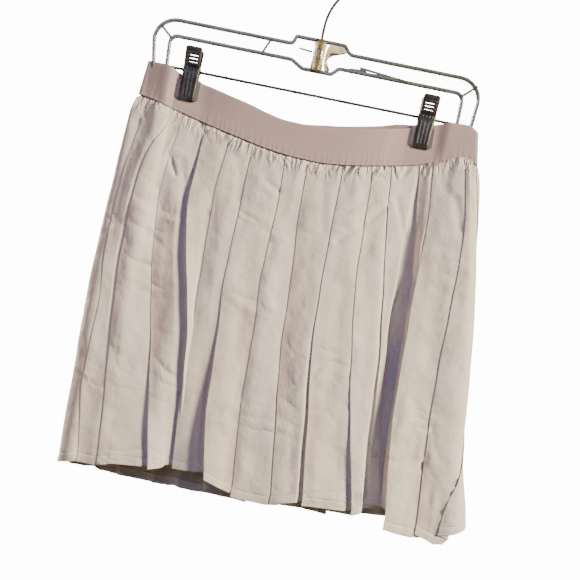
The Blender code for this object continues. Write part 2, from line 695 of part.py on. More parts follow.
def make_hook(collection, steel):
    """Steel wire: straight shank, a swan neck to one side, then a round loop open on the other."""
    centre = HOOK_RISE + WIRE_RADIUS - HOOK_BEND
    neck = ((0.0, SHANK_FOOT), (0.0, 50.0), (0.0, 68.0), (0.2, 76.0), (1.2, 84.0), (3.2, 92.0),
            (6.4, 100.0), (10.6, 107.0), *arc((0.0, centre), HOOK_BEND, -45, -45, 0))
    neck = np.array(neck)
    length = np.concatenate([[0.0], np.cumsum(np.linalg.norm(np.diff(neck, axis=0), axis=1))])
    places = np.linspace(30.0, length[-1], 14)
    smooth = np.stack([through(places, length, neck[:, 0]), through(places, length, neck[:, 1])], 1)
    route = [tuple(neck[0]), *map(tuple, smooth[:-1]), *arc((0.0, centre), HOOK_BEND, -45, 212, 22)]
    data = bpy.data.curves.new("hanger_hook", "CURVE")
    data.dimensions = "3D"
    data.bevel_depth = WIRE_RADIUS * MM
    data.bevel_resolution = 2
    data.use_fill_caps = True
    spline = data.splines.new("POLY")
    spline.points.add(len(route) - 1)
    for point, (x, z) in zip(spline.points, route):
        point.co = (x * MM, 0.0, (z - HOOK_RISE) * MM, 1.0)
    from_curve("hanger_hook", data, collection, steel)


def cheek(name, x, facing, collection):
    """Ear of a clip plate, standing across the rod with a round hole for it."""
    reach = 4.5
    foot, brow = -3.6, 2.6
    rounded = [(y * -facing, z) for y, z in arc((0.0, 0.0), CHEEK_RADIUS, -90, 90, 7)]
    outer = [(facing * reach, brow), (facing * reach, foot), *rounded]
    if facing > 0:
        outer.reverse()
    hole = arc((0.0, 0.0), BORE_RADIUS, 0, 330, 11)
    made = flat_plate(name, [[(y, z + ROD_LEVEL) for y, z in ring] for ring in (outer, hole)],
                      -CHEEK / 2, CHEEK / 2, collection)
    for vertex in made.data.vertices:
        across = vertex.co.y
        vertex.co.y = vertex.co.x
        vertex.co.x = x * MM + across
    shape = bmesh.new()
    shape.from_mesh(made.data)
    bmesh.ops.recalc_face_normals(shape, faces=shape.faces)
    shape.to_mesh(made.data)
    shape.free()
    return made


def make_clip(side, collection, cutters, steel, vinyl):
    """One spring clip: two sheet plates with cheeks round the rod, a spring, and two soft pads."""
    centre, lean = CLIPS[side]
    table = np.array(CLIP_PLATE)
    height, distance, half_width = table.T
    middle = centre + (lean - centre) * np.clip((height + 33.0) / 56.5, 0.0, 1.0)
    across = np.array([-1.0, -0.5, 0.5, 1.0])
    for label, facing in (("front", -1), ("back", 1)):
        x = middle[:, None] + half_width[:, None] * across * -facing
        z = np.broadcast_to(height[:, None], x.shape)
        slope = np.gradient(distance, height)
        push = PLATE / 2 / np.sqrt(1.0 + slope**2)
        grids = []
        for sign in (1, -1):
            y = (distance + sign * push)[:, None] * facing + 0.0 * x
            grids.append(np.stack([x, y, z - (sign * push * slope)[:, None]], axis=2))
        plate = walled(f"clip_{side}_{label}", grids[0], grids[1], False, collection, steel)
        cheek_x = OUTER_CHEEK if facing < 0 else INNER_CHEEK
        cheeks = [
            cheek(f"cheek_{side}_{label}_{number}", centre + way * cheek_x, facing, cutters)
            for number, way in enumerate((-1, 1))
        ]
        combine(plate, joined(f"cheeks_{side}_{label}", cheeks, cutters), "UNION")
        near, far = sorted((facing * (PLATE_INNER - CLEARANCE), facing * (PLATE_INNER - CLEARANCE - PAD)))
        corner = 3.0
        left, right = centre - PAD_WIDTH / 2, centre + PAD_WIDTH / 2
        outline = [
            *arc((left + corner, PAD_FOOT + corner), corner, 270, 180, 3),
            *arc((left + corner, PAD_TOP - corner), corner, 180, 90, 3),
            *arc((right - corner, PAD_TOP - corner), corner, 90, 0, 3),
            *arc((right - corner, PAD_FOOT + corner), corner, 0, -90, 3),
        ]
        flat_plate(f"clip_{side}_pad_{label}", [outline], near, far, collection, vinyl)
    spring = cylinder(f"clip_{side}_spring", (centre - SPRING_HALF, 0, ROD_LEVEL),
                      (centre + SPRING_HALF, 0, ROD_LEVEL), SPRING_RADIUS, 16, collection, steel)
    core = cylinder(f"spring_core_{side}", (centre - 12, 0, ROD_LEVEL), (centre + 12, 0, ROD_LEVEL),
                    BORE_RADIUS, 12, cutters)
    combine(spring, core, "DIFFERENCE")


def build():
    """Make every piece of the skirt and its hanger."""
    for old in list(bpy.data.objects):
        bpy.data.objects.remove(old)
    scene = bpy.context.scene
    collection = bpy.data.collections.new("tennis_skirt_on_clip_hanger")
    cutters = bpy.data.collections.new("cutters")
    scene.collection.children.link(collection)
    scene.collection.children.link(cutters)

    cloth = material("pleated_twill", (0.56, 0.51, 0.45), 0.85)
    elastic = material("covered_elastic", (0.45, 0.37, 0.33), 0.9)
    plastic = material("clear_styrene", (0.62, 0.60, 0.54), 0.15, alpha=0.35)
    steel = material("blackened_steel", (0.06, 0.055, 0.05), 0.35, metallic=1.0)
    vinyl = material("soft_vinyl", (0.30, 0.26, 0.23), 0.5)

    make_panels(collection, cloth)
    make_waistband(collection, elastic)
    make_hanger(collection, cutters, plastic)
    cylinder("hanger_rod", (ROD_ENDS[0], 0, ROD_LEVEL), (ROD_ENDS[1], 0, ROD_LEVEL), ROD_RADIUS,
             12, collection, steel)
    make_hook(collection, steel)
    for side in CLIPS:
        make_clip(side, collection, cutters, steel, vinyl)


build()
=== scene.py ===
"""Looks of a short pleated tennis skirt held by a two-clip hanger.

Sizes are in millimetres: x runs along the hanger's rod, y away from the skirt's front and z up from
the rod. placed() turns them into the frame's metres, measured from the inner top of the hook.
"""
import math

import bmesh
import bpy
import mathutils
import numpy as np
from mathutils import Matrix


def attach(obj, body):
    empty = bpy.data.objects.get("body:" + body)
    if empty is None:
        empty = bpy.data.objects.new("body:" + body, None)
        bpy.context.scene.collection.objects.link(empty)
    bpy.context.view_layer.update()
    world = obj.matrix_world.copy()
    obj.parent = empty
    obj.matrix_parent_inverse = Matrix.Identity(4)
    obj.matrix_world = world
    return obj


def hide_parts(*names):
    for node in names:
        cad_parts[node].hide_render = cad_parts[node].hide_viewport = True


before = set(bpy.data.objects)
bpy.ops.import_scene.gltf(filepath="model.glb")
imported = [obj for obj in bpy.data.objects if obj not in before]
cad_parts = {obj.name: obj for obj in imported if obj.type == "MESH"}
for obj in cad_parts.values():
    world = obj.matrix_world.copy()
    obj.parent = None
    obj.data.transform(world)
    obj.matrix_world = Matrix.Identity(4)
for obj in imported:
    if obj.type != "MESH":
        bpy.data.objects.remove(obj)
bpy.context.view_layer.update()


# ---- Waistband ---------------------------------------------------------------------------------
# One strip of covered elastic, 38 mm wide, joined into a loop. It is knitted smooth outside, sags
# between the two clips and is pressed flat by them, and the pleated cloth is sewn to its lower edge.
MM = 0.001
HOOK_RISE = 148.0

BAND = 1.7              # thickness
BAND_ROUND = 0.6        # radius of its two long edges
BAND_LEFT = (-176.6, -180.1)    # middle of the wall at its left end: top edge, seam
BAND_RIGHT = (183.6, 189.6)
BAND_END_BEND = 4.0
BAND_STITCH = 3.6       # line of stitches above the lower edge
BAND_TALL = 37.0        # usual height between its edges
BAND_TURN = 0.64        # share of its height from which it takes on its seam's depth
RIPPLE_PITCH = 6.7      # ripples along its lower part
SLACK = 0.35            # height of the slow waves where it hangs loose

# x, height of the front's top edge, of the back's top edge, and of the seam below
BAND_EDGES = np.array((
    (-181, 1.0, 1.0, -36.5),
    (-165, 0.0, -0.5, -39.3),
    (-152, -1.5, -2.0, -42.6),
    (-140, -6.5, -6.5, -45.2),
    (-129, -9.0, -9.0, -47.6),
    (-116, -12.0, -12.0, -50.8),
    (-100, -15.5, -16.5, -54.5),
    (-80, -20.5, -21.5, -59.0),
    (-60, -25.0, -26.5, -63.0),
    (-40, -30.5, -31.0, -67.0),
    (-20, -34.2, -33.0, -69.7),
    (0, -34.8, -31.0, -71.2),
    (20, -34.0, -28.0, -71.5),
    (40, -31.7, -25.2, -70.0),
    (60, -27.5, -21.3, -67.0),
    (80, -22.8, -17.0, -63.0),
    (100, -18.0, -12.0, -58.5),
    (114, -13.5, -10.5, -55.2),
    (126, -9.5, -9.0, -52.0),
    (137, -6.0, -6.0, -48.3),
    (150, -2.0, -2.0, -43.2),
    (160, -0.5, -0.5, -39.2),
    (172, 0.0, 0.0, -36.0),
    (182, -4.5, -4.5, -37.4),
    (190, -8.0, -8.0, -40.5),
), dtype=float)

# x, half depth of the loop at its top edge and at its seam
BAND_DEPTHS = np.array((
    (-174, 1.4, 2.6),
    (-163, 4.6, 4.8),
    (-151, 8.0, 6.8),
    (-142, 1.1, 2.8),
    (-129, 1.1, 2.4),
    (-115, 1.1, 2.8),
    (-98, 4.0, 5.0),
    (-70, 7.5, 8.5),
    (-30, 9.5, 10.5),
    (10, 10.0, 11.0),
    (50, 9.0, 10.0),
    (85, 6.5, 7.5),
    (100, 3.2, 4.4),
    (112, 1.1, 2.8),
    (126, 1.1, 2.4),
    (140, 1.1, 2.8),
    (154, 4.8, 4.6),
    (172, 5.2, 5.4),
), dtype=float)


def placed(points):
    """Millimetre points above the rod's level, as metres below the hook's inner top."""
    moved = np.array(points, dtype=float)
    moved[..., 2] -= HOOK_RISE
    return moved * MM


def slopes_at(knots, values):
    """Slope at each knot: the harmonic mean of the rises on its two sides, or level where they
    have opposite signs, so that a cubic through the knots never swings past them."""
    rises = np.diff(values, axis=-1) / np.diff(knots, axis=-1)
    before, after = rises[..., :-1], rises[..., 1:]
    same_way = before * after > 0
    total = np.where(same_way, before + after, 1.0)
    middle = np.where(same_way, 2 * before * after / total, 0.0)
    return np.concatenate([rises[..., :1], middle, rises[..., -1:]], axis=-1)


def cubic(t, span, start, end, start_slope, end_slope):
    """Cubic between two values with a slope at each end, at the share t of its span."""
    return ((2 * t**3 - 3 * t**2 + 1) * start + (t**3 - 2 * t**2 + t) * span * start_slope
            + (3 * t**2 - 2 * t**3) * end + (t**3 - t**2) * span * end_slope)


def through(positions, knots, values):
    """Smooth curve through a table that never swings past its values, read at some positions."""
    knots = np.asarray(knots, dtype=float)
    values = np.asarray(values, dtype=float)
    slopes = slopes_at(knots, values)
    index = np.clip(np.searchsorted(knots, positions) - 1, 0, len(knots) - 2)
    span = knots[index + 1] - knots[index]
    t = np.clip((positions - knots[index]) / span, 0.0, 1.0)
    return cubic(t, span, values[index], values[index + 1], slopes[index], slopes[index + 1])


def closing(x, left, right, bend):
    """1 across a flattened tube, falling to 0 on a quarter ellipse at each end."""
    inside = np.clip(np.minimum(x - left, right - x) / bend, 0.0, 1.0)
    return np.sqrt(np.clip(1.0 - (1.0 - inside) ** 2, 0.0, 1.0))


def unit(directions):
    """Each row of directions divided by its own length."""
    return directions / np.linalg.norm(directions, axis=1, keepdims=True)


def distance_along(line):
    """Distance of each point of a line from its start, summed from point to point."""
    return np.concatenate([[0.0], np.cumsum(np.linalg.norm(np.diff(line, axis=0), axis=1))])


def between(positions, along, values):
    """Each column of values read at distances along a line."""
    return np.stack([np.interp(positions, along, values[:, i]) for i in range(values.shape[1])], -1)


def from_faces(name, points, corners, starts, cut=None):
    """Mesh from millimetre points, the corners of all its faces in a row and where each face starts."""
    mesh = bpy.data.meshes.new(name)
    mesh.vertices.add(points.size // 3)
    mesh.vertices.foreach_set("co", placed(points).ravel())
    mesh.loops.add(corners.size)
    mesh.loops.foreach_set("vertex_index", corners)
    mesh.polygons.add(len(starts))
    mesh.polygons.foreach_set("loop_start", starts)
    mesh.polygons.foreach_set("use_smooth", np.ones(len(starts), dtype=bool))
    if cut is not None:
        layer = mesh.uv_layers.new(name="cut")
        layer.data.foreach_set("uv", cut.reshape(-1, 2)[corners].ravel())
    mesh.update(calc_edges=True)
    mesh.validate()
    made = bpy.data.objects.new(name, mesh)
    bpy.context.scene.collection.objects.link(made)
    return made


def surface(name, grid, round_rows=False, round_columns=False, cut=None, caps=False, gaps=None):
    """Mesh over a grid of millimetre points, with one face between each four neighbours.

    round_rows joins the last row to the first, and round_columns the last column to the first.
    caps closes the first and last row. cut is a grid of places on the flat cloth in metres, which
    becomes the UV map. gaps marks faces that are left out, and their lone points go with them.
    """
    rows, columns = grid.shape[:2]
    number = np.arange(rows * columns).reshape(rows, columns)
    loops = number
    if round_rows:
        loops = np.vstack([loops, loops[:1]])
    if round_columns:
        loops = np.hstack([loops, loops[:, :1]])
    quads = np.stack([loops[:-1, :-1], loops[1:, :-1], loops[1:, 1:], loops[:-1, 1:]], axis=-1)
    if gaps is not None:
        quads = quads[~gaps]
    corners = quads.reshape(-1)
    starts = np.arange(0, corners.size, 4)
    if gaps is not None:
        used, corners = np.unique(corners, return_inverse=True)
        grid = grid.reshape(-1, 3)[used]
    if caps:
        corners = np.concatenate([corners, number[0], number[-1, ::-1]])
        starts = np.concatenate([starts, [quads.size, quads.size + columns]])
    return from_faces(name, grid, corners, starts, cut)


def part_of_root(made, finish):
    """Give a new piece its finish and its body."""
    made.data.materials.clear()
    made.data.materials.append(finish)
    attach(made, "root")
    return made


def colour(code):
    """sRGB hex code as linear red, green, blue and 1."""
    parts = np.array([int(code[i:i + 2], 16) for i in (0, 2, 4)]) / 255.0
    linear = np.where(parts <= 0.04045, parts / 12.92, ((parts + 0.055) / 1.055) ** 2.4)
    return (*linear.tolist(), 1.0)


def add_node(tree, kind, inputs=(), **settings):
    """Add a node with its settings; inputs pairs a socket's name or number with a value or a link."""
    node = tree.nodes.new(kind)
    for name, value in settings.items():
        setattr(node, name, value)
    for name, value in dict(inputs).items():
        if isinstance(value, bpy.types.NodeSocket):
            tree.links.new(value, node.inputs[name])
        else:
            node.inputs[name].default_value = value
    return node


def new_finish(name, **constants):
    """A material and its Principled shader, with the shader's constant sockets set."""
    made = bpy.data.materials.new(name)
    made.use_nodes = True
    shader = made.node_tree.nodes["Principled BSDF"]
    for socket, value in constants.items():
        shader.inputs[socket.replace("_", " ")].default_value = value
    return made, made.node_tree, shader


def mottled(tree, shader, spot, scale, detail, codes, distortion=0.0):
    """Base colour that drifts between two hex codes with a noise of a scale and a detail."""
    noise = add_node(tree, "ShaderNodeTexNoise", {"Vector": spot, "Scale": scale, "Detail": detail,
                                                  "Distortion": distortion})
    tint = add_node(tree, "ShaderNodeMix", {"Factor": noise.outputs["Fac"], "A": colour(codes[0]),
                                            "B": colour(codes[1])}, data_type="RGBA")
    tree.links.new(tint.outputs["Result"], shader.inputs["Base Color"])


def worn(tree, shader, spot, scale, dark, light):
    """Base colour that steps from a dark hex code to a light one at two levels of a noise."""
    noise = add_node(tree, "ShaderNodeTexNoise", {"Vector": spot, "Scale": scale, "Detail": 4.0})
    ramp = add_node(tree, "ShaderNodeValToRGB", {"Fac": noise.outputs["Fac"]})
    for element, (position, code) in zip(ramp.color_ramp.elements, (dark, light)):
        element.position = position
        element.color = colour(code)
    tree.links.new(ramp.outputs["Color"], shader.inputs["Base Color"])


def grained(tree, shader, spot, scale, detail, strength, distance):
    """Fine relief from a noise."""
    grain = add_node(tree, "ShaderNodeTexNoise", {"Vector": spot, "Scale": scale, "Detail": detail})
    bump = add_node(tree, "ShaderNodeBump", {"Height": grain.outputs["Fac"], "Strength": strength,
                                             "Distance": distance})
    tree.links.new(bump.outputs["Normal"], shader.inputs["Normal"])


def band_loop(share):
    """Middle line of the band's wall at a share of its height: a flattened tube seen from above.

    Its half depth comes from the table, falls to nothing on a quarter ellipse at each end, and the
    back mirrors the front. Returns distance along the line, its points, and its x at both edges.
    """
    left = BAND_LEFT[0] + share * (BAND_LEFT[1] - BAND_LEFT[0])
    right = BAND_RIGHT[0] + share * (BAND_RIGHT[1] - BAND_RIGHT[0])
    turn = np.linspace(0.0, math.pi, 1201)
    x = left + (right - left) * (1.0 - np.cos(turn)) / 2
    low = np.clip((share - BAND_TURN) / (1.0 - BAND_TURN), 0.0, 1.0)
    depth = ((1.0 - low) * through(x, BAND_DEPTHS[:, 0], BAND_DEPTHS[:, 1])
             + low * through(x, BAND_DEPTHS[:, 0], BAND_DEPTHS[:, 2]))
    y = -depth * closing(x, left, right, BAND_END_BEND)
    front = np.stack([x, y], axis=1)
    loop = np.concatenate([front, (front * (1.0, -1.0))[::-1][1:]])
    along = distance_along(loop)
    return along, loop, left, right


def band_row(share, outward, lift, columns):
    """One line round the band, at a share of its height and a distance out from its middle."""
    along, loop, left, right = band_loop(share)
    place = np.arange(columns) / columns * along[-1]
    line = between(place, along, loop)
    ahead = unit(np.roll(line, -1, axis=0) - np.roll(line, 1, axis=0))
    out = np.stack([ahead[:, 1], -ahead[:, 0]], axis=1)
    loose = np.clip((np.abs(line[:, 1]) - 1.3) / 3.0, 0.0, 1.0)
    wander = place + 1.9 * np.sin(place / 8.3) + 1.2 * np.sin(place / 3.1)
    ripple = (0.16 * np.sin(2 * math.pi * wander / RIPPLE_PITCH) * loose
              * np.clip(share - 0.6, 0, 1) * 2.5)
    slack = SLACK * loose * np.sin(place / 17.0 + 1.9 * share) * np.sin(place / 41.0 + 0.6)
    line = line + out * (outward + ripple + slack)[:, None]
    x = line[:, 0]
    part = (x - left) / (right - left)
    top_x = BAND_LEFT[0] + part * (BAND_RIGHT[0] - BAND_LEFT[0])
    low_x = BAND_LEFT[1] + part * (BAND_RIGHT[1] - BAND_LEFT[1])
    front = np.arange(columns) < columns / 2
    top = np.where(front, through(top_x, BAND_EDGES[:, 0], BAND_EDGES[:, 1]),
                   through(top_x, BAND_EDGES[:, 0], BAND_EDGES[:, 2]))
    seam = through(low_x, BAND_EDGES[:, 0], BAND_EDGES[:, 3])
    return np.column_stack([line, top + share * (seam - top) + lift])


BAND_COLUMNS = 1080
half = BAND / 2
rounds = np.radians(np.linspace(0, 180, 7))
shares = np.array((0.0, 0.12, 0.26, 0.4, 0.54, 0.68, 0.79, 0.86, 0.9, 0.93, 0.965, 1.0))
groove = -0.16 * np.exp(-(((1.0 - shares) * BAND_TALL - BAND_STITCH) / 0.8) ** 2)
section = [(0.0, half * math.cos(a), (math.sin(a) - 1.0) * BAND_ROUND) for a in rounds[::-1]]
section += [(share, half + groove[i], 0.0) for i, share in enumerate(shares) if 0 < share < 1]
section += [(1.0, half * math.cos(a), (1.0 - math.sin(a)) * BAND_ROUND) for a in rounds]
section += [(share, -half, 0.0) for share in shares[::-1] if 0 < share < 1]
band_grid = np.array([band_row(share, out, lift, BAND_COLUMNS) for share, out, lift in section])
waistband = surface("waistband_elastic", band_grid, round_rows=True, round_columns=True)

# Covered elastic, knitted polyester over rubber cords: matt and smooth, with cords 1.6 mm apart
# that only just show as level ribs, and a little cloudiness in its mauve dye.
elastic, tree, shader = new_finish("covered_elastic", Roughness=0.82, Sheen_Weight=0.25,
                                   Sheen_Roughness=0.5, Specular_IOR_Level=0.3)
spot = add_node(tree, "ShaderNodeTexCoord").outputs["Object"]
cords = add_node(tree, "ShaderNodeTexWave", {"Vector": spot, "Scale": 196.0, "Distortion": 0.6,
                                             "Detail": 1.0}, bands_direction="Z")
fuzz = add_node(tree, "ShaderNodeTexNoise", {"Vector": spot, "Scale": 900.0, "Detail": 3.0})
mottled(tree, shader, spot, 14.0, 2.0, ("a6938c", "b0a09a"))
relief = add_node(tree, "ShaderNodeMath", {0: cords.outputs["Fac"], 1: fuzz.outputs["Fac"]},
                  operation="ADD")
bump = add_node(tree, "ShaderNodeBump", {"Height": relief.outputs[0], "Strength": 0.05,
                                         "Distance": 0.0004})
tree.links.new(bump.outputs["Normal"], shader.inputs["Normal"])
part_of_root(waistband, elastic)
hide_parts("waistband")


# ---- Front and back panels ---------------------------------------------------------------------
# Each is one width of light polyester cloth, folded into knife pleats that all turn one way, which
# are pressed sharp and caught flat in the waist seam. The hem is turned up 9 mm and topstitched.
CLOTH = 0.2
FOLD_RADIUS = 0.16     # bend of the cloth's middle at a pleat's edge
FLAT_STAND = 1.6        # height of a pleat's edge above the base line where it is pressed flat
FLAT_RECESS = 0.7
FLAT_DIVE = 2.0         # how far a pleat dives under the next where it is pressed flat
MID_DROP = 0.45
CLOSE_EDGES = 6.0
OPEN_STEP = 3.5         # step down from a pleat's edge to the face beside it where it stands open
LAP = 12.0              # how far each pleat laps over the next
SIDE_HEIGHT = 1.2
SIDE_TOPS = (38.0, 42.0)
STACK_MIDDLE = 1.6      # middle of the three pressed layers above the base line
OUTLINE_INSET = 2.4
HEM_TURN = 9.0          # hem's stitches above its edge
PANEL_LENGTH = 385.0    # usual length from seam to hem, which spaces the rows
GATHERED = 34.0         # rows lie close above this drop below the seam, and fairly close above the next
UPPER = 140.0
HEM_ZONE = 14.0         # rows lie close below this height above the hem
PUFF_PITCH = 7.4        # width and height of the gathers under the seam
PUFF_HEIGHT = 2.4
SIDE_FADE = 14.0        # creases fade out over this width at a side seam
WAVES_FROM = 60.0       # slow waves reach their full height this far below the seam

# skirt's silhouette at its sides: drop below the rod, left x, right x
SILHOUETTE = np.array((
    (38, -181, 189),
    (60, -187, 196),
    (130, -190, 207),
    (200, -192, 219),
    (270, -193, 228),
    (340, -191, 236),
    (430, -188, 257),
), dtype=float)

# front pleats, left to right: x of the folded edge at the six drops below; height of the edge off
# the base line half way down and at the hem; height of the hidden inner fold there; width that
# dives under the edge there; drop of the hem at the folded edge and at the end of the face
FOLD_DROPS = (45, 130, 200, 270, 340, 420)
FRONT_PLEATS = (
    (-167, -178, -179, -174, -173, -163, 2.0, 2.8, 0.4, -1.0, 2.5, 2.6, 430, 429),
    (-141, -160, -162, -156, -150, -141, 3.4, 2.6, 0.2, -1.0, 3.6, 2.4, 428, 421),
    (-127, -136, -129, -117, -104, -88, 0.8, 5.0, 0.0, -1.5, 2.4, 7.6, 422, 416),
    (-102, -103, -92, -77, -68, -60, 9.0, -6.0, -0.5, -8.0, 14.0, 11.5, 415, 413),
    (-71, -78, -76, -71, -70, -64, 2.4, -4.0, 0.0, -6.5, 2.2, 3.0, 418, 416),
    (-48, -49, -49, -45, -41, -28, 3.6, 11.0, -0.3, -7.0, 3.4, 7.8, 420, 429),
    (-14, -10, -12, -8, -5, 2, 2.2, 3.6, 0.4, -1.0, 2.2, 2.6, 433, 434),
    (12, 14, 19, 24, 32, 43, 2.0, 2.8, 0.2, -1.0, 2.2, 2.6, 432, 424),
    (50, 50, 52, 55, 65, 76, 6.0, 9.5, 0.0, -1.5, 3.0, 5.4, 426, 424),
    (80, 84, 87, 97, 111, 128, 4.5, 7.0, 0.2, -1.5, 2.4, 6.4, 427, 421),
    (99, 108, 118, 129, 135, 146, 2.2, -9.5, -2.0, -13.0, 2.5, 6.0, 415, 415),
    (129, 139, 147, 148, 152, 160, -4.0, -10.5, -9.0, -13.0, 17.0, 1.0, 415, 416),
    (144, 150, 149, 150, 154, 163, 7.0, 10.0, -3.0, -4.0, 3.0, 3.0, 434, 438),
    (177, 189, 189, 190, 192, 198, 2.4, 3.4, 0.6, -0.6, 2.2, 2.6, 434, 441),
    (187, 204, 216, 225, 229, 222, 1.8, 2.6, 0.6, -0.6, 2.0, 2.6, 430, 424),
)
# pleats whose face ends in its own way: how far above its dive half way and at the hem, and the
# width of the wall it goes down by
FRONT_ENDS = {2: (4.5, 2.0, 7.0), 4: (0.0, 0.5, 0.4), 7: (0.0, 4.0, 0.4), 9: (1.0, 13.0, 0.4),
              10: (7.0, 0.0, 0.4)}
HEM_LEFT = 440          # drop of the hem at the left and right side seams
HEM_RIGHT = 414
BACK_PLEATS = 14
BACK_DROOP = 13.0
BACK_UNEVEN = 3.0

# depth of the skirt's tube
HEM_HALF_DEPTH = 19.0
HEM_BOW = 5.0
TOP_SIDE_BEND = 3.9
HEM_SIDE_BEND = 18.0

# creases in the front: x and z of both ends, half width, depth (below 0 is a ridge)
FRONT_CREASES = (
    (-98, -158, -82, -148, 2.6, 1.82),
    (-30, -100, -12, -110, 2.4, 1.62),
    (-26, -110, -16, -116, 2.0, -1.01),
    (58, -150, 82, -125, 3.2, 2.03),
    (88, -120, 105, -100, 3.0, 1.82),
    (28, -72, 42, -143, 4.0, 1.22),
    (75, -290, 98, -297, 2.6, 1.01),
    (78, -306, 100, -312, 2.2, 0.92),
    (165, -357, 195, -360, 3.0, 1.62),
    (200, -340, 222, -372, 4.0, 1.22),
    (231, -385, 214, -392, 2.6, 2.23),
    (231, -385, 226, -362, 2.6, -1.62),
    (-180, -68, -166, -57, 3.0, 2.03),
    (-178, -52, -168, -64, 2.2, -1.22),
    (-181, -273, -172, -273, 2.2, 1.42),
    (-186, -300, -178, -318, 2.4, 1.62),
    (-15, -332, 18, -338, 2.6, 0.92),
    (-35, -282, -20, -290, 2.4, 0.92),
    (158, -72, 172, -80, 2.6, 1.62),
    (172, -80, 184, -112, 3.0, 1.62),
    (20, -147, 40, -149, 2.2, 0.81),
    (-120, -96, -108, -140, 4.0, 1.22),
    (-60, -84, -52, -128, 4.4, 0.94),
    (112, -92, 128, -130, 4.0, 1.35),
    (-150, -200, -138, -262, 6.0, 0.8),
    (-20, -180, -14, -270, 6.5, -0.7),
    (60, -200, 72, -300, 7.0, -0.8),
    (170, -150, 176, -260, 6.0, 0.9),
    (180, -270, 184, -380, 6.5, -0.8),
    (210, -250, 220, -330, 5.0, 0.8),
    (190, -50, 234, -400, 30.0, -6.5),
    (-146, -60, -160, -150, 16.0, -4),
    (-100, -290, -90, -390, 8.0, -1.4),
    (-178, -190, -172, -420, 10.0, -3),
    (-150, -170, -138, -420, 14.0, -3.6),
    (104, -150, 124, -280, 8.0, -1.6),
    (86, -190, 104, -350, 9.0, -1.8),
    (-36, -220, -18, -400, 9.0, -1.2),
    (-6, -200, 6, -400, 10.0, -2.2),
    (36, -320, 42, -425, 12.0, -2.4),
    (176, -355, 193, -360, 2.2, 2.43),
    (194, -324, 215, -338, 2.4, 2.23),
    (65, -284, 104, -287, 1.4, 0.7),
    (67, -293, 100, -297, 1.3, -0.61),
    (70, -302, 106, -305, 1.4, 0.7),
    (72, -313, 104, -318, 1.5, 0.7),
    (-42, -284, -18, -292, 1.5, 1.01),
    (-38, -296, -15, -298, 1.5, -0.81),
    (-192, -279, -160, -286, 1.8, 1.22),
    (-190, -296, -158, -300, 1.8, -1.01),
    (-192, -318, -160, -330, 2.0, 1.42),
    (-187, -338, -162, -334, 1.8, 1.01),
    (-132, -98, -123, -114, 2.4, 2.43),
    (200, -352, 232, -384, 2.6, -1.82),
    (168, -300, 186, -318, 2.4, 1.82),
    (204, -396, 224, -408, 2.2, 1.62),
)
BACK_CREASES = (
    (150, -80, 132, -104, 3.0, 0.9),
    (96, -120, 82, -150, 3.2, 0.9),
    (30, -96, 8, -110, 2.8, 0.8),
    (-20, -150, -38, -132, 3.0, 0.8),
    (-66, -112, -84, -98, 2.8, 0.9),
    (-140, -84, -152, -110, 3.0, 0.8),
    (-90, -240, -112, -246, 2.6, 0.6),
    (-10, -300, 14, -306, 2.6, 0.6),
    (90, -280, 110, -322, 3.2, 0.8),
    (170, -330, 192, -336, 3.0, 0.9),
    (-150, -330, -166, -352, 3.0, 0.8),
    (60, -352, 44, -370, 2.8, 0.7),
    (-60, -200, -52, -300, 6.0, 0.8),
    (120, -180, 124, -280, 6.5, -0.8),
    (0, -190, 6, -280, 6.0, 0.7),
)


def seam_height(x):
    """Height of the waistband's lower seam."""
    return through(x, BAND_EDGES[:, 0], BAND_EDGES[:, 3])


def base_line(down, left, right, seen_from):
    """Plan line of a panel's innermost layer at a share of its drop, from side to side.

    Its depth grows from the waistband's to the hem's, whose middle bows out, and closes on a
    quarter ellipse at each side. The panel's own plan has x to the right of someone who faces it.
    """
    turn = np.linspace(0.0, math.pi, 721)
    x = left + (right - left) * (1.0 - np.cos(turn)) / 2
    top = through(x * seen_from, BAND_DEPTHS[:, 0], BAND_DEPTHS[:, 2]) - STACK_MIDDLE
    middle, reach = (left + right) / 2, (right - left) / 2
    hem = HEM_HALF_DEPTH + HEM_BOW * (1.0 - ((x - middle) / reach) ** 2)
    depth = top + (hem - top) * down**0.8
    bend = TOP_SIDE_BEND + (HEM_SIDE_BEND - TOP_SIDE_BEND) * down**0.5
    points = np.stack([x, -depth * closing(x, left, right, bend)], axis=1)
    along = distance_along(points)
    ahead = unit(np.gradient(points, along, axis=0))
    outward = np.stack([ahead[:, 1], -ahead[:, 0]], axis=1)
    return along, points, outward


def gathers(place, below):
    """Small tucks under the waist seam: full round puffs 5 to 9 mm wide with sharp valleys between.

    The height is a power of a sine's size, so that its zeros are creases. Its phase wanders along
    the seam and leans as it goes down, and each puff has its own height and dies out in its own way.
    """
    lean = below * (0.12 * np.sin(place / 15.0 + 1.0) + 0.08 * np.sin(place / 6.1))
    wander = place + lean + 2.6 * np.sin(place / 8.1) + 1.3 * np.sin(place / 3.7 + 1.0)
    phase = math.pi * wander / PUFF_PITCH
    number = np.floor(phase / math.pi)
    puff = np.abs(np.sin(phase)) ** 0.7
    size = 1.0 + 0.45 * np.sin(number * 2.3 + 0.4)
    reach = 11.0 + 7.0 * np.sin(number * 1.7 + 2.0)
    rise = np.clip((below - 1.0) / 2.6, 0.0, 1.0)
    sunk = (2.2 + 1.6 * (1.0 - puff)) * np.exp(-(below / 2.6) ** 2) * np.clip(below / 1.2, 0.3, 1.0)
    return (PUFF_HEIGHT * size * puff * rise - 0.9) * np.exp(-(below / reach) ** 1.6) - sunk


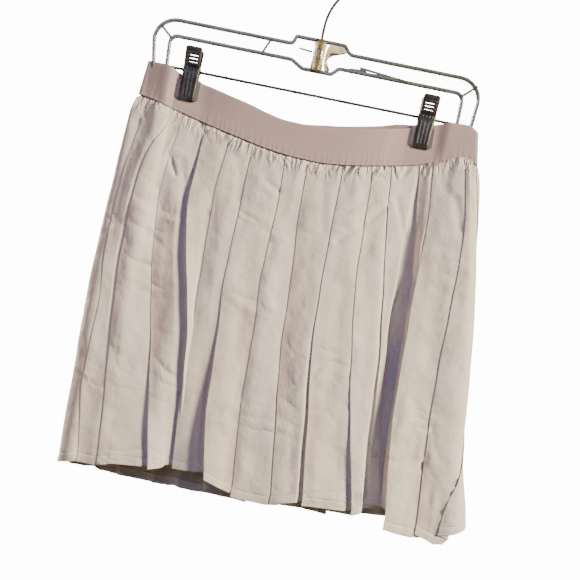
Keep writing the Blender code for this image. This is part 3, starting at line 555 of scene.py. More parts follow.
def creases(x, z, table):
    """Soft troughs and ridges: each falls away as a bell curve from the line between two points."""
    total = np.zeros_like(x)
    for x0, z0, x1, z1, wide, deep in table:
        along = np.array((x1 - x0, z1 - z0), dtype=float)
        length = np.linalg.norm(along)
        along /= length
        run = (x - x0) * along[0] + (z - z0) * along[1]
        off = (x - x0) * along[1] - (z - z0) * along[0]
        beyond = np.clip(np.maximum(-run, run - length), 0.0, None)
        total -= deep * np.exp(-((off**2 + beyond**2) / wide**2))
    return total


def pleated_panel(pleats, hem_start, hem_end, seen_from, table, own_ends):
    """Middle surface of one panel of knife pleats as a grid, and each point's place on the cut cloth.

    Each pleat is a Z: the face before it dives under the folded edge, turns back round a hidden
    inner fold, runs to the folded edge, and turns round it into the pleat's own face, which runs
    to the next pleat and, where that one stands open, drops into a groove beside it. The Z is
    measured off the base line and carried down by the tables.
    """
    top_zone = np.array((0.0, 1.2, 2.6, 4.2, 6.0, 8.0, 10.4, 13.2, 16.4, 20.0, 24.0, 28.5,
                         GATHERED))
    hem_zone = np.array((HEM_ZONE, 11.6, 10.3, 9.5, 9.0, 8.5, 7.7, 6.0, 3.6, 1.4, 0.5, 0.0))
    upper_zone = np.linspace(GATHERED, UPPER, 46)[1:]
    lower_zone = np.linspace(UPPER, PANEL_LENGTH - HEM_ZONE, 36)[1:-1]
    down = np.concatenate([top_zone, upper_zone, lower_zone, PANEL_LENGTH - hem_zone])
    down = down / PANEL_LENGTH
    count = len(pleats)
    tables = np.array(pleats, dtype=float)
    hem_edge, hem_face = tables[:, 12], tables[:, 13]
    edge_x = np.array([through(np.array([60.0]), FOLD_DROPS, row[:6])[0] for row in tables])
    top_edge = -seam_height(edge_x * seen_from)
    sides = (-1, 1) if seen_from > 0 else (1, -1)
    lines = []
    for share in down:
        ends = []
        for side, hem in zip(sides, (hem_start, hem_end)):
            limit = SILHOUETTE[:, 1 if side < 0 else 2]
            start = SIDE_TOPS[0 if side < 0 else 1]
            reach = through(np.array([start + share * (hem - start)]), SILHOUETTE[:, 0], limit)[0]
            ends.append((reach - side * OUTLINE_INSET) * seen_from)
        lines.append(base_line(share, ends[0], ends[1], seen_from))

    edge, stand, recess, dive = (np.zeros((len(down), count)) for _ in range(4))
    levels = (0.0, MID_DROP, 1.0)
    for index, row in enumerate(tables):
        drop = top_edge[index] + down * (hem_edge[index] - top_edge[index])
        hand = np.sin(math.pi * down) * (0.7 * np.sin(drop / 31.0 + 2.1 * index)
                                         + 0.3 * np.sin(drop / 9.7 + 1.3 * index))
        x = through(drop, FOLD_DROPS, row[:6]) + hand
        for level, (along, points, _) in enumerate(lines):
            edge[level, index] = np.interp(x[level], points[:, 0], along)
        stand[:, index] = through(down, levels, (FLAT_STAND, row[6], row[7]))
        recess[:, index] = through(down, levels, (FLAT_RECESS, row[8], row[9]))
        dive[:, index] = through(down, levels, (FLAT_DIVE, row[10], row[11]))
    length = np.array([line[0][-1] for line in lines])
    dive[:, 1:] = np.minimum(dive[:, 1:], np.diff(edge, axis=1) - CLOSE_EDGES)
    following = np.concatenate([edge[:, 1:] - dive[:, 1:], (length - 3.0)[:, None]], axis=1)
    lap = np.clip(following - edge - 3.0, 2.0, np.maximum(LAP, 4.0 - dive))
    lap[:, -1] = np.clip(0.4 * (length - edge[:, -1]), 2.0, LAP)
    r = FOLD_RADIUS
    part = np.clip((lap + 1.0) / (following - edge), 0.2, 0.8)
    face, shoulder, ending = (np.zeros_like(stand) for _ in range(3))
    for k in range(count):
        covered = np.clip(-dive[:, k] / 4.0, 0.0, 1.0)
        if k:
            recess[:, k] += covered * np.maximum(face[:, k - 1] + r - recess[:, k], 0.0)
        stand[:, k] = np.maximum(stand[:, k], recess[:, k] + 2 * r)
        opened = stand[:, k] - recess[:, k] - 2 * r
        spread = np.clip((dive[:, k] - 3.0) / 4.0, 0.0, 1.0)
        rise = 1.0 - 0.75 * spread
        shoulder[:, k] = recess[:, k] - r + (1.0 - covered) * (0.1 + rise * opened)
        line_height = stand[:, k] + r + part[:, k] * (recess[:, k] - stand[:, k] - r)
        face[:, k] = np.maximum(line_height + 1.1, recess[:, k] + 3 * r)
        ending[:, k] = np.maximum(shoulder[:, k], shoulder[:, k] + spread * (
            stand[:, k] - OPEN_STEP - shoulder[:, k]))
        if k - 1 in own_ends:
            ending[:, k] = shoulder[:, k] + through(down, levels, (0.0, *own_ends[k - 1][:2]))
        if k:
            start_height = stand[:, k - 1] + r
            line_height = start_height + part[:, k - 1] * (ending[:, k] - start_height)
            tilted = line_height + 0.7
            tilted -= covered * np.maximum(tilted - recess[:, k] + r + 0.3, 0.0)
            face[:, k - 1] = np.maximum(tilted, recess[:, k - 1] + 3 * r)

    places, heights, hems = [], [], []

    def run_on(knots, values, low, counts):
        """Smooth line through the knots, with as many points in each piece as counts says."""
        knots, values = np.stack(knots, axis=1), np.stack(values, axis=1)
        slopes = slopes_at(knots, values)
        for piece, number in enumerate(counts):
            span = knots[:, piece + 1] - knots[:, piece]
            for t in np.arange(number) / number:
                places.append(knots[:, piece] + t * span)
                heights.append(cubic(t, span, values[:, piece], values[:, piece + 1],
                                     slopes[:, piece], slopes[:, piece + 1]))
                hems.append(low[piece] + t * (low[piece + 1] - low[piece]))

    start, side = np.full(len(down), 0.02), np.full(len(down), SIDE_HEIGHT)
    first = edge[:, 0] - dive[:, 0]
    run_on((start, first / 2, first, edge[:, 0] + lap[:, 0] - r),
           (side, (side + shoulder[:, 0]) / 2 + 0.4, shoulder[:, 0], recess[:, 0] - r),
           (hem_start, (hem_start + hem_edge[0]) / 2, hem_edge[0], hem_edge[0] - 2.0), (8, 8, 3))
    for k in range(count):
        e, top, low, over = edge[:, k], stand[:, k], recess[:, k], lap[:, k]
        hidden = (hem_edge[k] + (hem_face[k - 1] if k else hem_edge[k])) / 2 - 2.0
        for turn in np.radians(np.linspace(-90, 90, 4)):
            places.append(e + over - r + r * math.cos(turn))
            heights.append(low + r * math.sin(turn))
            hems.append(hidden)
        lean = np.arctan2(np.maximum(top - low - 2 * r, 0.0), np.maximum(over - 2 * r, 0.3))
        centre_x, centre_y = e + r * np.cos(lean), top - r * np.sin(lean)
        places.append((e + over - r + centre_x - r * np.sin(lean)) / 2)
        heights.append((low + r + centre_y - r * np.cos(lean)) / 2)
        hems.append((hem_edge[k] - 1.0 + hidden) / 2)
        for turn in np.radians(np.linspace(270, 90, 5)):
            places.append(centre_x + r * np.cos(turn - lean))
            heights.append(centre_y + r * np.sin(turn - lean))
            hems.append(hem_edge[k] - 0.5 + 0.5 * abs(math.sin(turn)) - 0.5 * math.cos(turn))
        out_x, out_y = centre_x + r * np.sin(lean) + 0.3, centre_y + r * np.cos(lean)
        middle = hem_edge[k] + 0.5 * (hem_face[k] - hem_edge[k])
        if k + 1 < count:
            after = edge[:, k + 1] + lap[:, k + 1] - r
            wall = 0.4 + 0.35 * np.maximum(dive[:, k + 1] - 3.0, 0.0)
            if k in own_ends:
                wall = through(down, levels, (0.4, own_ends[k][2], own_ends[k][2]))
            ledge = np.minimum(following[:, k] + wall, after - 2.0)
            run_on((out_x, e + over + 1.0, following[:, k], ledge, after),
                   (out_y, face[:, k], ending[:, k + 1],
                    shoulder[:, k + 1] - 0.1, recess[:, k + 1] - r),
                   (hem_edge[k], middle, hem_face[k], hem_face[k] - 0.5, hem_face[k] - 2.0),
                   (9, 6, 1, 3))
        else:
            end = length - 0.02
            run_on((out_x, e + over + 1.0, (e + over + 1.0 + end) / 2, end),
                   (out_y, face[:, k], (face[:, k] + side) / 2 + 0.4, side),
                   (hem_edge[k], middle, (middle + hem_end) / 2, hem_end), (9, 7, 7))
            places.append(end)
            heights.append(side)
            hems.append(hem_end)

    places, heights = np.array(places).T, np.array(heights).T
    hems = np.array(hems, dtype=float)
    below = down[:, None] * PANEL_LENGTH
    above_hem = (1.0 - down[:, None]) * PANEL_LENGTH
    pinch = 0.4 + 0.6 * np.clip(below / 5.0, 0.0, 1.0) ** 0.7
    heights = STACK_MIDDLE + (heights - STACK_MIDDLE) * pinch
    plan = np.zeros((*places.shape, 2))
    for level, (along, points, outward) in enumerate(lines):
        spot = between(places[level], along, points)
        plan[level] = spot + between(places[level], along, outward) * heights[level][:, None]
    top_z = seam_height(plan[0, :, 0] * seen_from) + 0.8
    z = top_z + down[:, None] * (-hems - top_z)

    body_x = np.zeros_like(places)
    for level, (along, points, outward) in enumerate(lines):
        body_x[level] = np.interp(places[level], along, points[:, 0]) * seen_from
    puff = gathers(places, np.broadcast_to(below, places.shape))
    from_side = np.minimum(places, length[:, None] - places)
    puff += creases(body_x, z, table) * np.clip(from_side / SIDE_FADE, 0.0, 1.0)
    open_air = np.clip(below / WAVES_FROM, 0.0, 1.0)
    puff += open_air * (
        0.75 * np.sin(places / 11.0 + z / 47.0 + 1.3 * np.sin(z / 83.0))
        * np.sin(z / 44.0 + places / 23.0)
        + 0.4 * np.sin(places / 5.3 - z / 27.0) * np.sin(z / 21.0 + places / 31.0 + 1.7))
    puff += 0.25 * np.exp(-(above_hem / 7.6) ** 8)
    puff -= 0.5 * np.exp(-((above_hem - HEM_TURN) / 0.75) ** 2)
    for level, (along, points, outward) in enumerate(lines):
        plan[level] += between(places[level], along, outward) * puff[level][:, None]
    grid = np.concatenate([plan, z[..., None]], axis=2)
    steps = np.linalg.norm(np.diff(grid, axis=1), axis=2).mean(axis=0)
    across = np.concatenate([[0.0], np.cumsum(steps)])
    fallen = np.linalg.norm(np.diff(grid, axis=0), axis=2).cumsum(axis=0)
    fallen = np.concatenate([np.zeros((1, fallen.shape[1])), fallen])
    cut = np.stack([np.broadcast_to(across, fallen.shape), -fallen], axis=2) * MM
    return grid, cut


def back_pleats():
    """Pleat rows of the back, evenly spread with small changes, in the back's own plan."""
    rows = []
    left, right = -SILHOUETTE[:, 2], -SILHOUETTE[:, 1]
    for index in range(BACK_PLEATS):
        place = (index + 0.75 + 0.14 * math.sin(2.4 * index)) / (BACK_PLEATS + 0.3)
        x = [float(np.interp(drop, SILHOUETTE[:, 0], left + place * (right - left)))
             for drop in FOLD_DROPS]
        wave = math.sin(1.9 * index + 0.6)
        droop = BACK_DROOP * (1.0 - (2.0 * place - 1.0) ** 2)
        hem = HEM_RIGHT + 26.0 * place**0.35 + droop + BACK_UNEVEN * wave
        rows.append((*x, 4.6 + 0.8 * wave, 8.5 + 2.0 * wave, 0.0, -2.5, 3.2, 5.0,
                     hem, hem - 3.0 * wave))
    return rows


# Fine polyester plain weave with a crisp pressed hand: matt with a faint sheen at grazing angles.
# Its 0.3 mm threads are drawn 1.1 mm apart so that they show at all, and its dye is very even. It is
# crumpled softly all over and creased finely in patches. Where it is gathered, in the first 26 mm
# below the seam, it breaks into sharp small tucks.
cloth, tree, shader = new_finish("pleated_plain_weave", Roughness=0.78, Sheen_Weight=0.2,
                                 Sheen_Roughness=0.45, Specular_IOR_Level=0.3)
flat_place = add_node(tree, "ShaderNodeUVMap", uv_map="cut").outputs["UV"]
spot = add_node(tree, "ShaderNodeTexCoord").outputs["Object"]
warp = add_node(tree, "ShaderNodeTexWave", {"Vector": flat_place, "Scale": 286.0, "Distortion": 1.5,
                                            "Detail": 2.0}, bands_direction="X")
weft = add_node(tree, "ShaderNodeTexWave", {"Vector": flat_place, "Scale": 286.0, "Distortion": 1.5,
                                            "Detail": 2.0}, bands_direction="Y")
threads = add_node(tree, "ShaderNodeMath", {0: warp.outputs["Fac"], 1: weft.outputs["Fac"]},
                   operation="MULTIPLY")
crumple = add_node(tree, "ShaderNodeTexNoise", {"Vector": spot, "Scale": 34.0, "Detail": 3.0,
                                                "Roughness": 0.45, "Distortion": 0.15})
long_way = add_node(tree, "ShaderNodeMapping", {"Vector": flat_place, "Scale": (22.0, 5.0, 1.0)})
cloud = add_node(tree, "ShaderNodeTexNoise", {"Vector": long_way.outputs["Vector"], "Scale": 1.0,
                                              "Detail": 2.0})
shade = add_node(tree, "ShaderNodeMapRange", {"Value": cloud.outputs["Fac"], "From Min": 0.35,
                                              "From Max": 0.65})
tint = add_node(tree, "ShaderNodeMix", {"Factor": shade.outputs["Result"], "A": colour("d8cdba"),
                                        "B": colour("d6d2c2")}, data_type="RGBA")
tree.links.new(tint.outputs["Result"], shader.inputs["Base Color"])
fine = add_node(tree, "ShaderNodeBump", {"Height": threads.outputs[0], "Strength": 0.1,
                                         "Distance": 0.0003})
bump = add_node(tree, "ShaderNodeBump", {"Height": crumple.outputs["Fac"], "Strength": 0.7,
                                         "Distance": 0.006, "Normal": fine.outputs["Normal"]})
level_way = add_node(tree, "ShaderNodeMapping", {"Vector": flat_place, "Scale": (22.0, 40.0, 1.0)})
pinched = add_node(tree, "ShaderNodeTexNoise", {"Vector": level_way.outputs["Vector"], "Scale": 1.0,
                                                "Detail": 0.6, "Distortion": 0.5})
patches = add_node(tree, "ShaderNodeTexNoise", {"Vector": spot, "Scale": 11.0, "Detail": 1.0})
patch = add_node(tree, "ShaderNodeMapRange", {"Value": patches.outputs["Fac"], "From Min": 0.44,
                                              "From Max": 0.66}, interpolation_type="SMOOTHSTEP")
pinch = add_node(tree, "ShaderNodeMath", {0: pinched.outputs["Fac"], 1: 0.5}, operation="SUBTRACT")
pinch = add_node(tree, "ShaderNodeMath", {0: pinch.outputs[0]}, operation="ABSOLUTE")
pinch = add_node(tree, "ShaderNodeMath", {0: pinch.outputs[0], 1: patch.outputs["Result"]},
                 operation="MULTIPLY")
creased = add_node(tree, "ShaderNodeBump", {"Height": pinch.outputs[0], "Strength": 0.65,
                                            "Distance": 0.011, "Normal": bump.outputs["Normal"]})
drawn_out = add_node(tree, "ShaderNodeMapping", {"Vector": flat_place, "Scale": (110.0, 38.0, 1.0)})
tucks = add_node(tree, "ShaderNodeTexNoise", {"Vector": drawn_out.outputs["Vector"], "Scale": 1.0,
                                              "Detail": 2.0, "Roughness": 0.4, "Distortion": 0.7})
sharp = add_node(tree, "ShaderNodeMath", {0: tucks.outputs["Fac"], 1: 0.5}, operation="SUBTRACT")
sharp = add_node(tree, "ShaderNodeMath", {0: sharp.outputs[0]}, operation="ABSOLUTE")
fallen = add_node(tree, "ShaderNodeSeparateXYZ", {"Vector": flat_place}).outputs["Y"]
near_seam = add_node(tree, "ShaderNodeMapRange", {"Value": fallen, "From Min": -0.026,
                                                  "From Max": -0.004}, interpolation_type="SMOOTHSTEP")
height = add_node(tree, "ShaderNodeMath", {0: sharp.outputs[0], 1: near_seam.outputs["Result"]},
                  operation="MULTIPLY")
rolls = add_node(tree, "ShaderNodeBump", {"Height": cloud.outputs["Fac"], "Strength": 0.6,
                                          "Distance": 0.012, "Normal": creased.outputs["Normal"]})
tucked = add_node(tree, "ShaderNodeBump", {"Height": height.outputs[0], "Strength": 1.0,
                                           "Distance": 0.012, "Normal": rolls.outputs["Normal"]})
tree.links.new(tucked.outputs["Normal"], shader.inputs["Normal"])

panels = {}
for name, pleats, hem_start, hem_end, seen_from, table, own_ends in (
        ("front", FRONT_PLEATS, HEM_LEFT, HEM_RIGHT, 1, FRONT_CREASES, FRONT_ENDS),
        ("back", back_pleats(), HEM_RIGHT, HEM_LEFT, -1, BACK_CREASES, {})):
    grid, cut = pleated_panel(pleats, hem_start, hem_end, seen_from, table, own_ends)
    grid = grid * (seen_from, seen_from, 1.0)
    panel = surface(f"{name}_panel", grid, cut=cut)
    wall = panel.modifiers.new("cloth", "SOLIDIFY")
    wall.thickness = CLOTH * MM
    wall.offset = 0.0
    part_of_root(panel, cloth)
    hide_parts(f"skirt_{name}")
    width, tall = cut[0, -1, 0], -cut[-1, :, 1].mean()
    panels[name] = (grid, cut)


# ---- Stitches ------------------------------------------------------------------------------------
# Polyester thread: a line of 2.1 mm stitches, 2.9 mm apart, along each hem, and one close to the
# waistband's lower edge.
STITCH = 2.1
STITCH_PITCH = 2.9
THREAD_RADIUS = 0.25


def stitches(name, centres, along, outward, length, radius):
    """Short rounded beads of thread, each a hexagon carried along its own axis and closed at both ends.

    Every bead is the same grid of rings, turned to its line and to the cloth's outward side.
    """
    rings = np.array(((-0.5, 0.35), (-0.36, 1.0), (0.36, 1.0), (0.5, 0.35)))
    turn = np.radians(np.arange(6) * 60.0)
    along = unit(along)
    outward = unit(outward - along * np.sum(along * outward, axis=1, keepdims=True))
    side = np.cross(along, outward)
    ring_at = (rings[:, 0] * length)[None, :, None, None] * along[:, None, None]
    round_at = radius * rings[:, 1][None, :, None, None] * (
        np.cos(turn)[None, None, :, None] * outward[:, None, None]
        + np.sin(turn)[None, None, :, None] * side[:, None, None])
    points = (centres[:, None, None] + ring_at + round_at).reshape(-1, 3)
    number = np.arange(24).reshape(4, 6)
    after = np.roll(number, -1, axis=1)
    quads = np.stack([number[:-1], after[:-1], after[1:], number[1:]], axis=-1).reshape(-1, 4)
    bead = np.concatenate([quads.ravel(), number[0, ::-1], number[-1]])
    bead_starts = np.concatenate([np.arange(0, quads.size, 4), [quads.size, quads.size + 6]])
    each = np.arange(len(centres))[:, None]
    corners = (each * 24 + bead).ravel()
    starts = (each * bead.size + bead_starts).ravel()
    return from_faces(name, points, corners, starts)


def along_line(line, pitch):
    """Points every pitch along a line, with its direction there."""
    run = distance_along(line)
    places = np.arange(pitch / 2, run[-1], pitch)
    here = between(places, run, line)
    return here, between(places + 0.3, run, line) - between(places - 0.3, run, line)


# Spun polyester thread, dyed to match: matt, and coloured a little lighter than the cloth, partly its
# own tone and partly a painted highlight for the light that the hem's folded ridge catches, so that
# each hem shows a pale line.
thread, tree, shader = new_finish("spun_thread_painted_highlight", Roughness=0.7, Sheen_Weight=0.2)
spot = add_node(tree, "ShaderNodeTexCoord").outputs["Object"]
mottled(tree, shader, spot, 700.0, 2.0, ("e2d9cc", "f1eadf"))

for name, (grid, cut) in panels.items():
    above_hem = (cut[:, :, 1] - cut[-1:, :, 1]) * 1000.0
    row = int(np.argmin(np.abs(above_hem.mean(axis=1) - HEM_TURN)))
    line = grid[row]
    here, ahead = along_line(line, STITCH_PITCH)
    out = unit(np.cross((0.0, 0.0, 1.0), ahead) * -1.0)
    made = stitches(f"{name}_hem_stitches", here + out * (CLOTH / 2 + 0.05), ahead, out, STITCH,
                    THREAD_RADIUS)
    part_of_root(made, thread)

outer_rows = [i for i, (share, out, lift) in enumerate(section) if out > 0]
near = min(outer_rows, key=lambda i: abs((1.0 - section[i][0]) * BAND_TALL - BAND_STITCH))
line = np.vstack([band_grid[near], band_grid[near][:1]])
here, ahead = along_line(line, STITCH_PITCH)
out = unit(np.cross(ahead, (0.0, 0.0, 1.0)))
made = stitches("waist_seam_stitches", here + out * 0.02, ahead, out, STITCH, 0.18)

# The same thread dyed to the elastic's mauve, a little darker than it.
mauve_thread, tree, shader = new_finish("mauve_polyester_thread", Roughness=0.75, Sheen_Weight=0.15)
spot = add_node(tree, "ShaderNodeTexCoord").outputs["Object"]
mottled(tree, shader, spot, 700.0, 2.0, ("8f7c75", "a4918a"))
part_of_root(made, mauve_thread)


# ---- Hanger ----------------------------------------------------------------------------------------
# One clear moulding: a bar with two legs whose edges are thickened into a flange round a thin web,
# ribs across its corners, a boss for the hook with a solid block beside it, and a socket at each
# foot for the rod.
BAR_HALF = 3.2
WEB_HALF = 1.0
FLANGE = 3.1
BAR_TOP = 51.0
BAR_UNDER = 31.0
CROWN_TOP = 59.5
CROWN_UNDER = 23.5
CORNER = 25.0
LEG_FOOT = -10.0
BOSS_RADIUS = 6.3


def arc(centre, radius, start, end, steps):
    """Points round part of a circle, angles in degrees."""
    angles = np.radians(np.linspace(start, end, steps + 1))
    return [(centre[0] + radius * math.cos(a), centre[1] + radius * math.sin(a)) for a in angles]


def softened(outline, passes):
    """A closed outline with its corners cut and cut again, a quarter in from both ends of a side."""
    points = np.array(outline, dtype=float)
    for _ in range(passes):
        after = np.roll(points, -1, axis=0)
        points = np.stack([0.75 * points + 0.25 * after, 0.25 * points + 0.75 * after], 1)
        points = points.reshape(-1, 2)
    return points


def inward_of(points):
    """Mitred inward direction at each point of a closed outline that runs clockwise."""
    ahead = unit(np.roll(points, -1, axis=0) - points)
    inward = np.stack([ahead[:, 1], -ahead[:, 0]], axis=1)
    before = np.roll(inward, 1, axis=0)
    return (before + inward) / (1.0 + np.sum(before * inward, axis=1, keepdims=True))


def close_points(outline, gap):
    """The outline with more points on its long sides, at most a gap apart."""
    points = []
    for start, end in zip(outline, outline[1:] + outline[:1]):
        steps = max(1, round(math.dist(start, end) / gap))
        points += [(start[0] + (end[0] - start[0]) * i / steps,
                    start[1] + (end[1] - start[1]) * i / steps) for i in range(steps)]
    return points


outline = [
    (-171.5, LEG_FOOT), (-178.0, BAR_TOP - CORNER),
    *arc((-178.0 + CORNER, BAR_TOP - CORNER), CORNER, 172, 90, 9),
    (-31.0, BAR_TOP), (-28.0, CROWN_TOP), (27.0, CROWN_TOP), (34.0, BAR_TOP),
    *arc((179.0 - CORNER, BAR_TOP - CORNER), CORNER, 90, 8, 9),
    (179.0, BAR_TOP - CORNER), (176.0, LEG_FOOT),
    (158.0, LEG_FOOT), (158.5, BAR_UNDER - 4.0), (154.5, BAR_UNDER),
    (25.0, BAR_UNDER), (18.0, CROWN_UNDER), (-15.0, CROWN_UNDER), (-28.0, BAR_UNDER),
    (-153.5, BAR_UNDER), (-157.5, BAR_UNDER - 4.0), (-155.0, LEG_FOOT),
]
rim = softened(close_points(outline, 6.0), 2)
inward = inward_of(rim)
flange = [(FLANGE + 0.5, -WEB_HALF), (FLANGE, -WEB_HALF - 0.4), (FLANGE, -BAR_HALF + 0.6),
          (FLANGE - 0.6, -BAR_HALF), (0.6, -BAR_HALF), (0.0, -BAR_HALF + 0.6),
          (0.0, BAR_HALF - 0.6), (0.6, BAR_HALF), (FLANGE - 0.6, BAR_HALF),
          (FLANGE, BAR_HALF - 0.6), (FLANGE, WEB_HALF + 0.4), (FLANGE + 0.5, WEB_HALF)]
rings = np.array([np.column_stack([rim[:, 0] + inset * inward[:, 0], np.full(len(rim), y),
                                   rim[:, 1] + inset * inward[:, 1]]) for inset, y in flange])
body = surface("hanger_moulding", rings, round_columns=True)
web_line = [mathutils.Vector((x, z, 0.0)) for x, _, z in rings[0].tolist()]
web = mathutils.geometry.tessellate_polygon([web_line])
mesh = body.data
ring_faces = [tuple(face.vertices) for face in mesh.polygons]
last = (len(flange) - 1) * len(rim)
near_web = [tuple(corners) for corners in web]
far_web = [tuple(last + corner for corner in corners[::-1]) for corners in web]
points = [tuple(vertex.co) for vertex in mesh.vertices]
mesh = bpy.data.meshes.new("hanger_moulding")
mesh.from_pydata(points, [], ring_faces + near_web + far_web)
mesh.polygons.foreach_set("use_smooth", [True] * len(ring_faces) + [False] * 2 * len(web))
body.data = mesh


def rounded(width, depth, radius, steps=3):
    """Section of a bar with rounded corners, round from its first quarter."""
    a, b = width / 2 - radius, depth / 2 - radius
    return np.array([*arc((a, b), radius, 0, 90, steps), *arc((-a, b), radius, 90, 180, steps),
                     *arc((-a, -b), radius, 180, 270, steps), *arc((a, -b), radius, 270, 360, steps)])


def carried(name, path, section, scales=None, side=None):
    """Solid made by a closed section carried along a path, its two ends closed.

    The section's first direction is the path's own direction turned a quarter in the x-z plane,
    unless side gives it, and its second is square to both. scales shrinks it along the path.
    """
    path = np.asarray(path, dtype=float)
    ahead = unit(np.gradient(path, axis=0))
    if side is None:
        side = np.stack([-ahead[:, 2], np.zeros(len(path)), ahead[:, 0]], axis=1)
    side = unit(side - ahead * np.sum(side * ahead, axis=1, keepdims=True))
    second = np.cross(ahead, side)
    scales = np.ones(len(path)) if scales is None else np.asarray(scales, dtype=float)
    grid = (path[:, None] + scales[:, None, None] * (section[None, :, :1] * side[:, None]
                                                     + section[None, :, 1:] * second[:, None]))
    made = surface(name, grid, round_columns=True, caps=True)
    turn_outwards(made)
    return made


def turn_outwards(made):
    """Point a closed mesh's faces outwards."""
    shape = bmesh.new()
    shape.from_mesh(made.data)
    bmesh.ops.recalc_face_normals(shape, faces=shape.faces)
    shape.to_mesh(made.data)
    shape.free()


def blunt(start, end, ease):
    """Path between two points with scales that round its ends off over a short way."""
    start, end = np.array(start, dtype=float), np.array(end, dtype=float)
    length = np.linalg.norm(end - start)
    ways = np.array((0.0, 0.3 * ease, ease, length / 2, length - ease, length - 0.3 * ease, length))
    path = start + (end - start) * (ways / length)[:, None]
    return path, (1.0 - 0.5 * ease / 2.0, 0.93, 1.0, 1.0, 1.0, 0.93, 1.0 - 0.5 * ease / 2.0)


turn_outwards(body)

# Clear styrene, injection moulded and a little yellowed: polished and glassy, with a 2 mm web that all
# but vanishes.
# Its thick edges carry a painted reflection: a dark grey and olive base colour in place of the dark
# they refract from round about.
rim_plastic, tree, shader = new_finish("clear_styrene_edge_painted_dark", Roughness=0.12, IOR=1.59,
                                       Transmission_Weight=0.25)
spot = add_node(tree, "ShaderNodeTexCoord").outputs["Object"]
mottled(tree, shader, spot, 38.0, 2.0, ("494a42", "70716a"))
grained(tree, shader, spot, 160.0, 1.0, 0.15, 0.0006)

web_plastic, tree, shader = new_finish("clear_styrene_web", Roughness=0.04, IOR=1.59, Alpha=0.07)
spot = add_node(tree, "ShaderNodeTexCoord").outputs["Object"]
mottled(tree, shader, spot, 25.0, 1.0, ("dedcd2", "f2f1ea"))

part_of_root(body, rim_plastic)
body.data.materials.append(web_plastic)
web_faces = np.zeros(len(body.data.polygons), dtype=np.int32)
web_faces[len(ring_faces):] = 1
body.data.polygons.foreach_set("material_index", web_faces)
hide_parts("hanger_body")

# x and z of each rib's two ends, its width and its depth
ribs = (
    ("left_corner", (-172.5, 42.0), (-157.5, 29.0), 2.4, 5.0),
    ("right_corner", (173.5, 43.5), (158.5, 29.5), 2.4, 5.0),
    ("left_brace", (-53.0, 49.6), (-60.0, 32.5), 2.0, 4.6),
    ("crown_left", (-22.0, 46.0), (-7.5, 44.6), 1.5, 3.4),
    ("bar_right", (46.0, 38.0), (99.0, 33.2), 2.0, 3.6),
    ("bar_middle", (35.0, 34.5), (54.0, 36.0), 1.6, 3.4),
)
for name, start, end, width, depth in ribs:
    path, scales = blunt((start[0], 0.0, start[1]), (end[0], 0.0, end[1]), 0.8)
    rib = carried(f"rib_{name}", path, rounded(width, depth, 0.35), scales)
    part_of_root(rib, rim_plastic)

# the solid block beside the boss follows its sloping lower side, so its section is its own outline
block_line = softened([(7.0, 57.6), (26.0, 57.6), (31.5, 51.5), (20.0, 47.5), (12.0, 44.0),
                       (9.0, 38.0), (12.0, 31.5), (15.5, 27.5), (7.0, 27.0)], 2)
half_depths = np.array((-2.7, -2.5, -1.9, 0.0, 1.9, 2.5, 2.7))
shrink = np.array((0.93, 0.98, 1.0, 1.0, 1.0, 0.98, 0.93))
centre = block_line.mean(axis=0)
layers = np.array([np.column_stack([centre[0] + size * (block_line[:, 0] - centre[0]),
                                    np.full(len(block_line), y),
                                    centre[1] + size * (block_line[:, 1] - centre[1])])
                   for y, size in zip(half_depths, shrink)])
block = surface("hook_block", layers, round_columns=True, caps=True)
turn_outwards(block)

# boss: a turned sleeve with a bore for the hook's shank
ring_turn = np.radians(np.arange(32) * 360.0 / 32)
sleeve = [(1.8, 58.6), (BOSS_RADIUS - 0.5, 58.9), (BOSS_RADIUS, 58.3), (BOSS_RADIUS, 40.0),
          (BOSS_RADIUS, 25.4), (BOSS_RADIUS - 0.6, 24.8), (1.4, 24.6), (1.4, 30.0), (1.8, 31.7)]
sleeve_grid = np.array([np.column_stack([radius * np.cos(ring_turn), radius * np.sin(ring_turn),
                                         np.full(32, z)]) for radius, z in sleeve])
boss = surface("hook_boss", sleeve_grid, round_rows=True, round_columns=True)
turn_outwards(boss)

# The same styrene where it is 5 to 13 mm thick, with a smoky brown base colour: a painted refraction of
# the brown seen through it from behind, not a tint of its own.
thick_plastic, tree, shader = new_finish("clear_styrene_thick_painted_brown", Roughness=0.08, IOR=1.59,
                                         Transmission_Weight=0.55)
spot = add_node(tree, "ShaderNodeTexCoord").outputs["Object"]
mottled(tree, shader, spot, 90.0, 2.0, ("625638", "a89a78"), distortion=1.0)
for made in (block, boss):
    part_of_root(made, thick_plastic)

for name, inner, outer in (("left", -155.8, -167.0), ("right", 158.6, 169.0)):
    path, scales = blunt((inner, 0.0, -0.75), (outer, 0.0, -0.75), 0.8)
    socket = carried(f"rod_socket_{name}", path, rounded(9.5, 5.8, 1.2), scales)
    part_of_root(socket, web_plastic)


# ---- Rod and hook ----------------------------------------------------------------------------------
# Blackened steel: a straight 3 mm rod between the legs, and a 3 mm wire bent into a hook, whose
# shank is pushed into the boss and can turn there.
ROD_LEVEL = -1.0
ROD_ENDS = (-160.5, 163.5)
WIRE_RADIUS = 1.5
HOOK_BEND = 21.0
SHANK_FOOT = 32.0

wire = np.array([(WIRE_RADIUS * math.cos(a), WIRE_RADIUS * math.sin(a))
                 for a in np.radians(np.arange(16) * 22.5)])
path, scales = blunt((ROD_ENDS[0], 0.0, ROD_LEVEL), (ROD_ENDS[1], 0.0, ROD_LEVEL), 0.5)
rod = carried("rod", path, wire, scales)

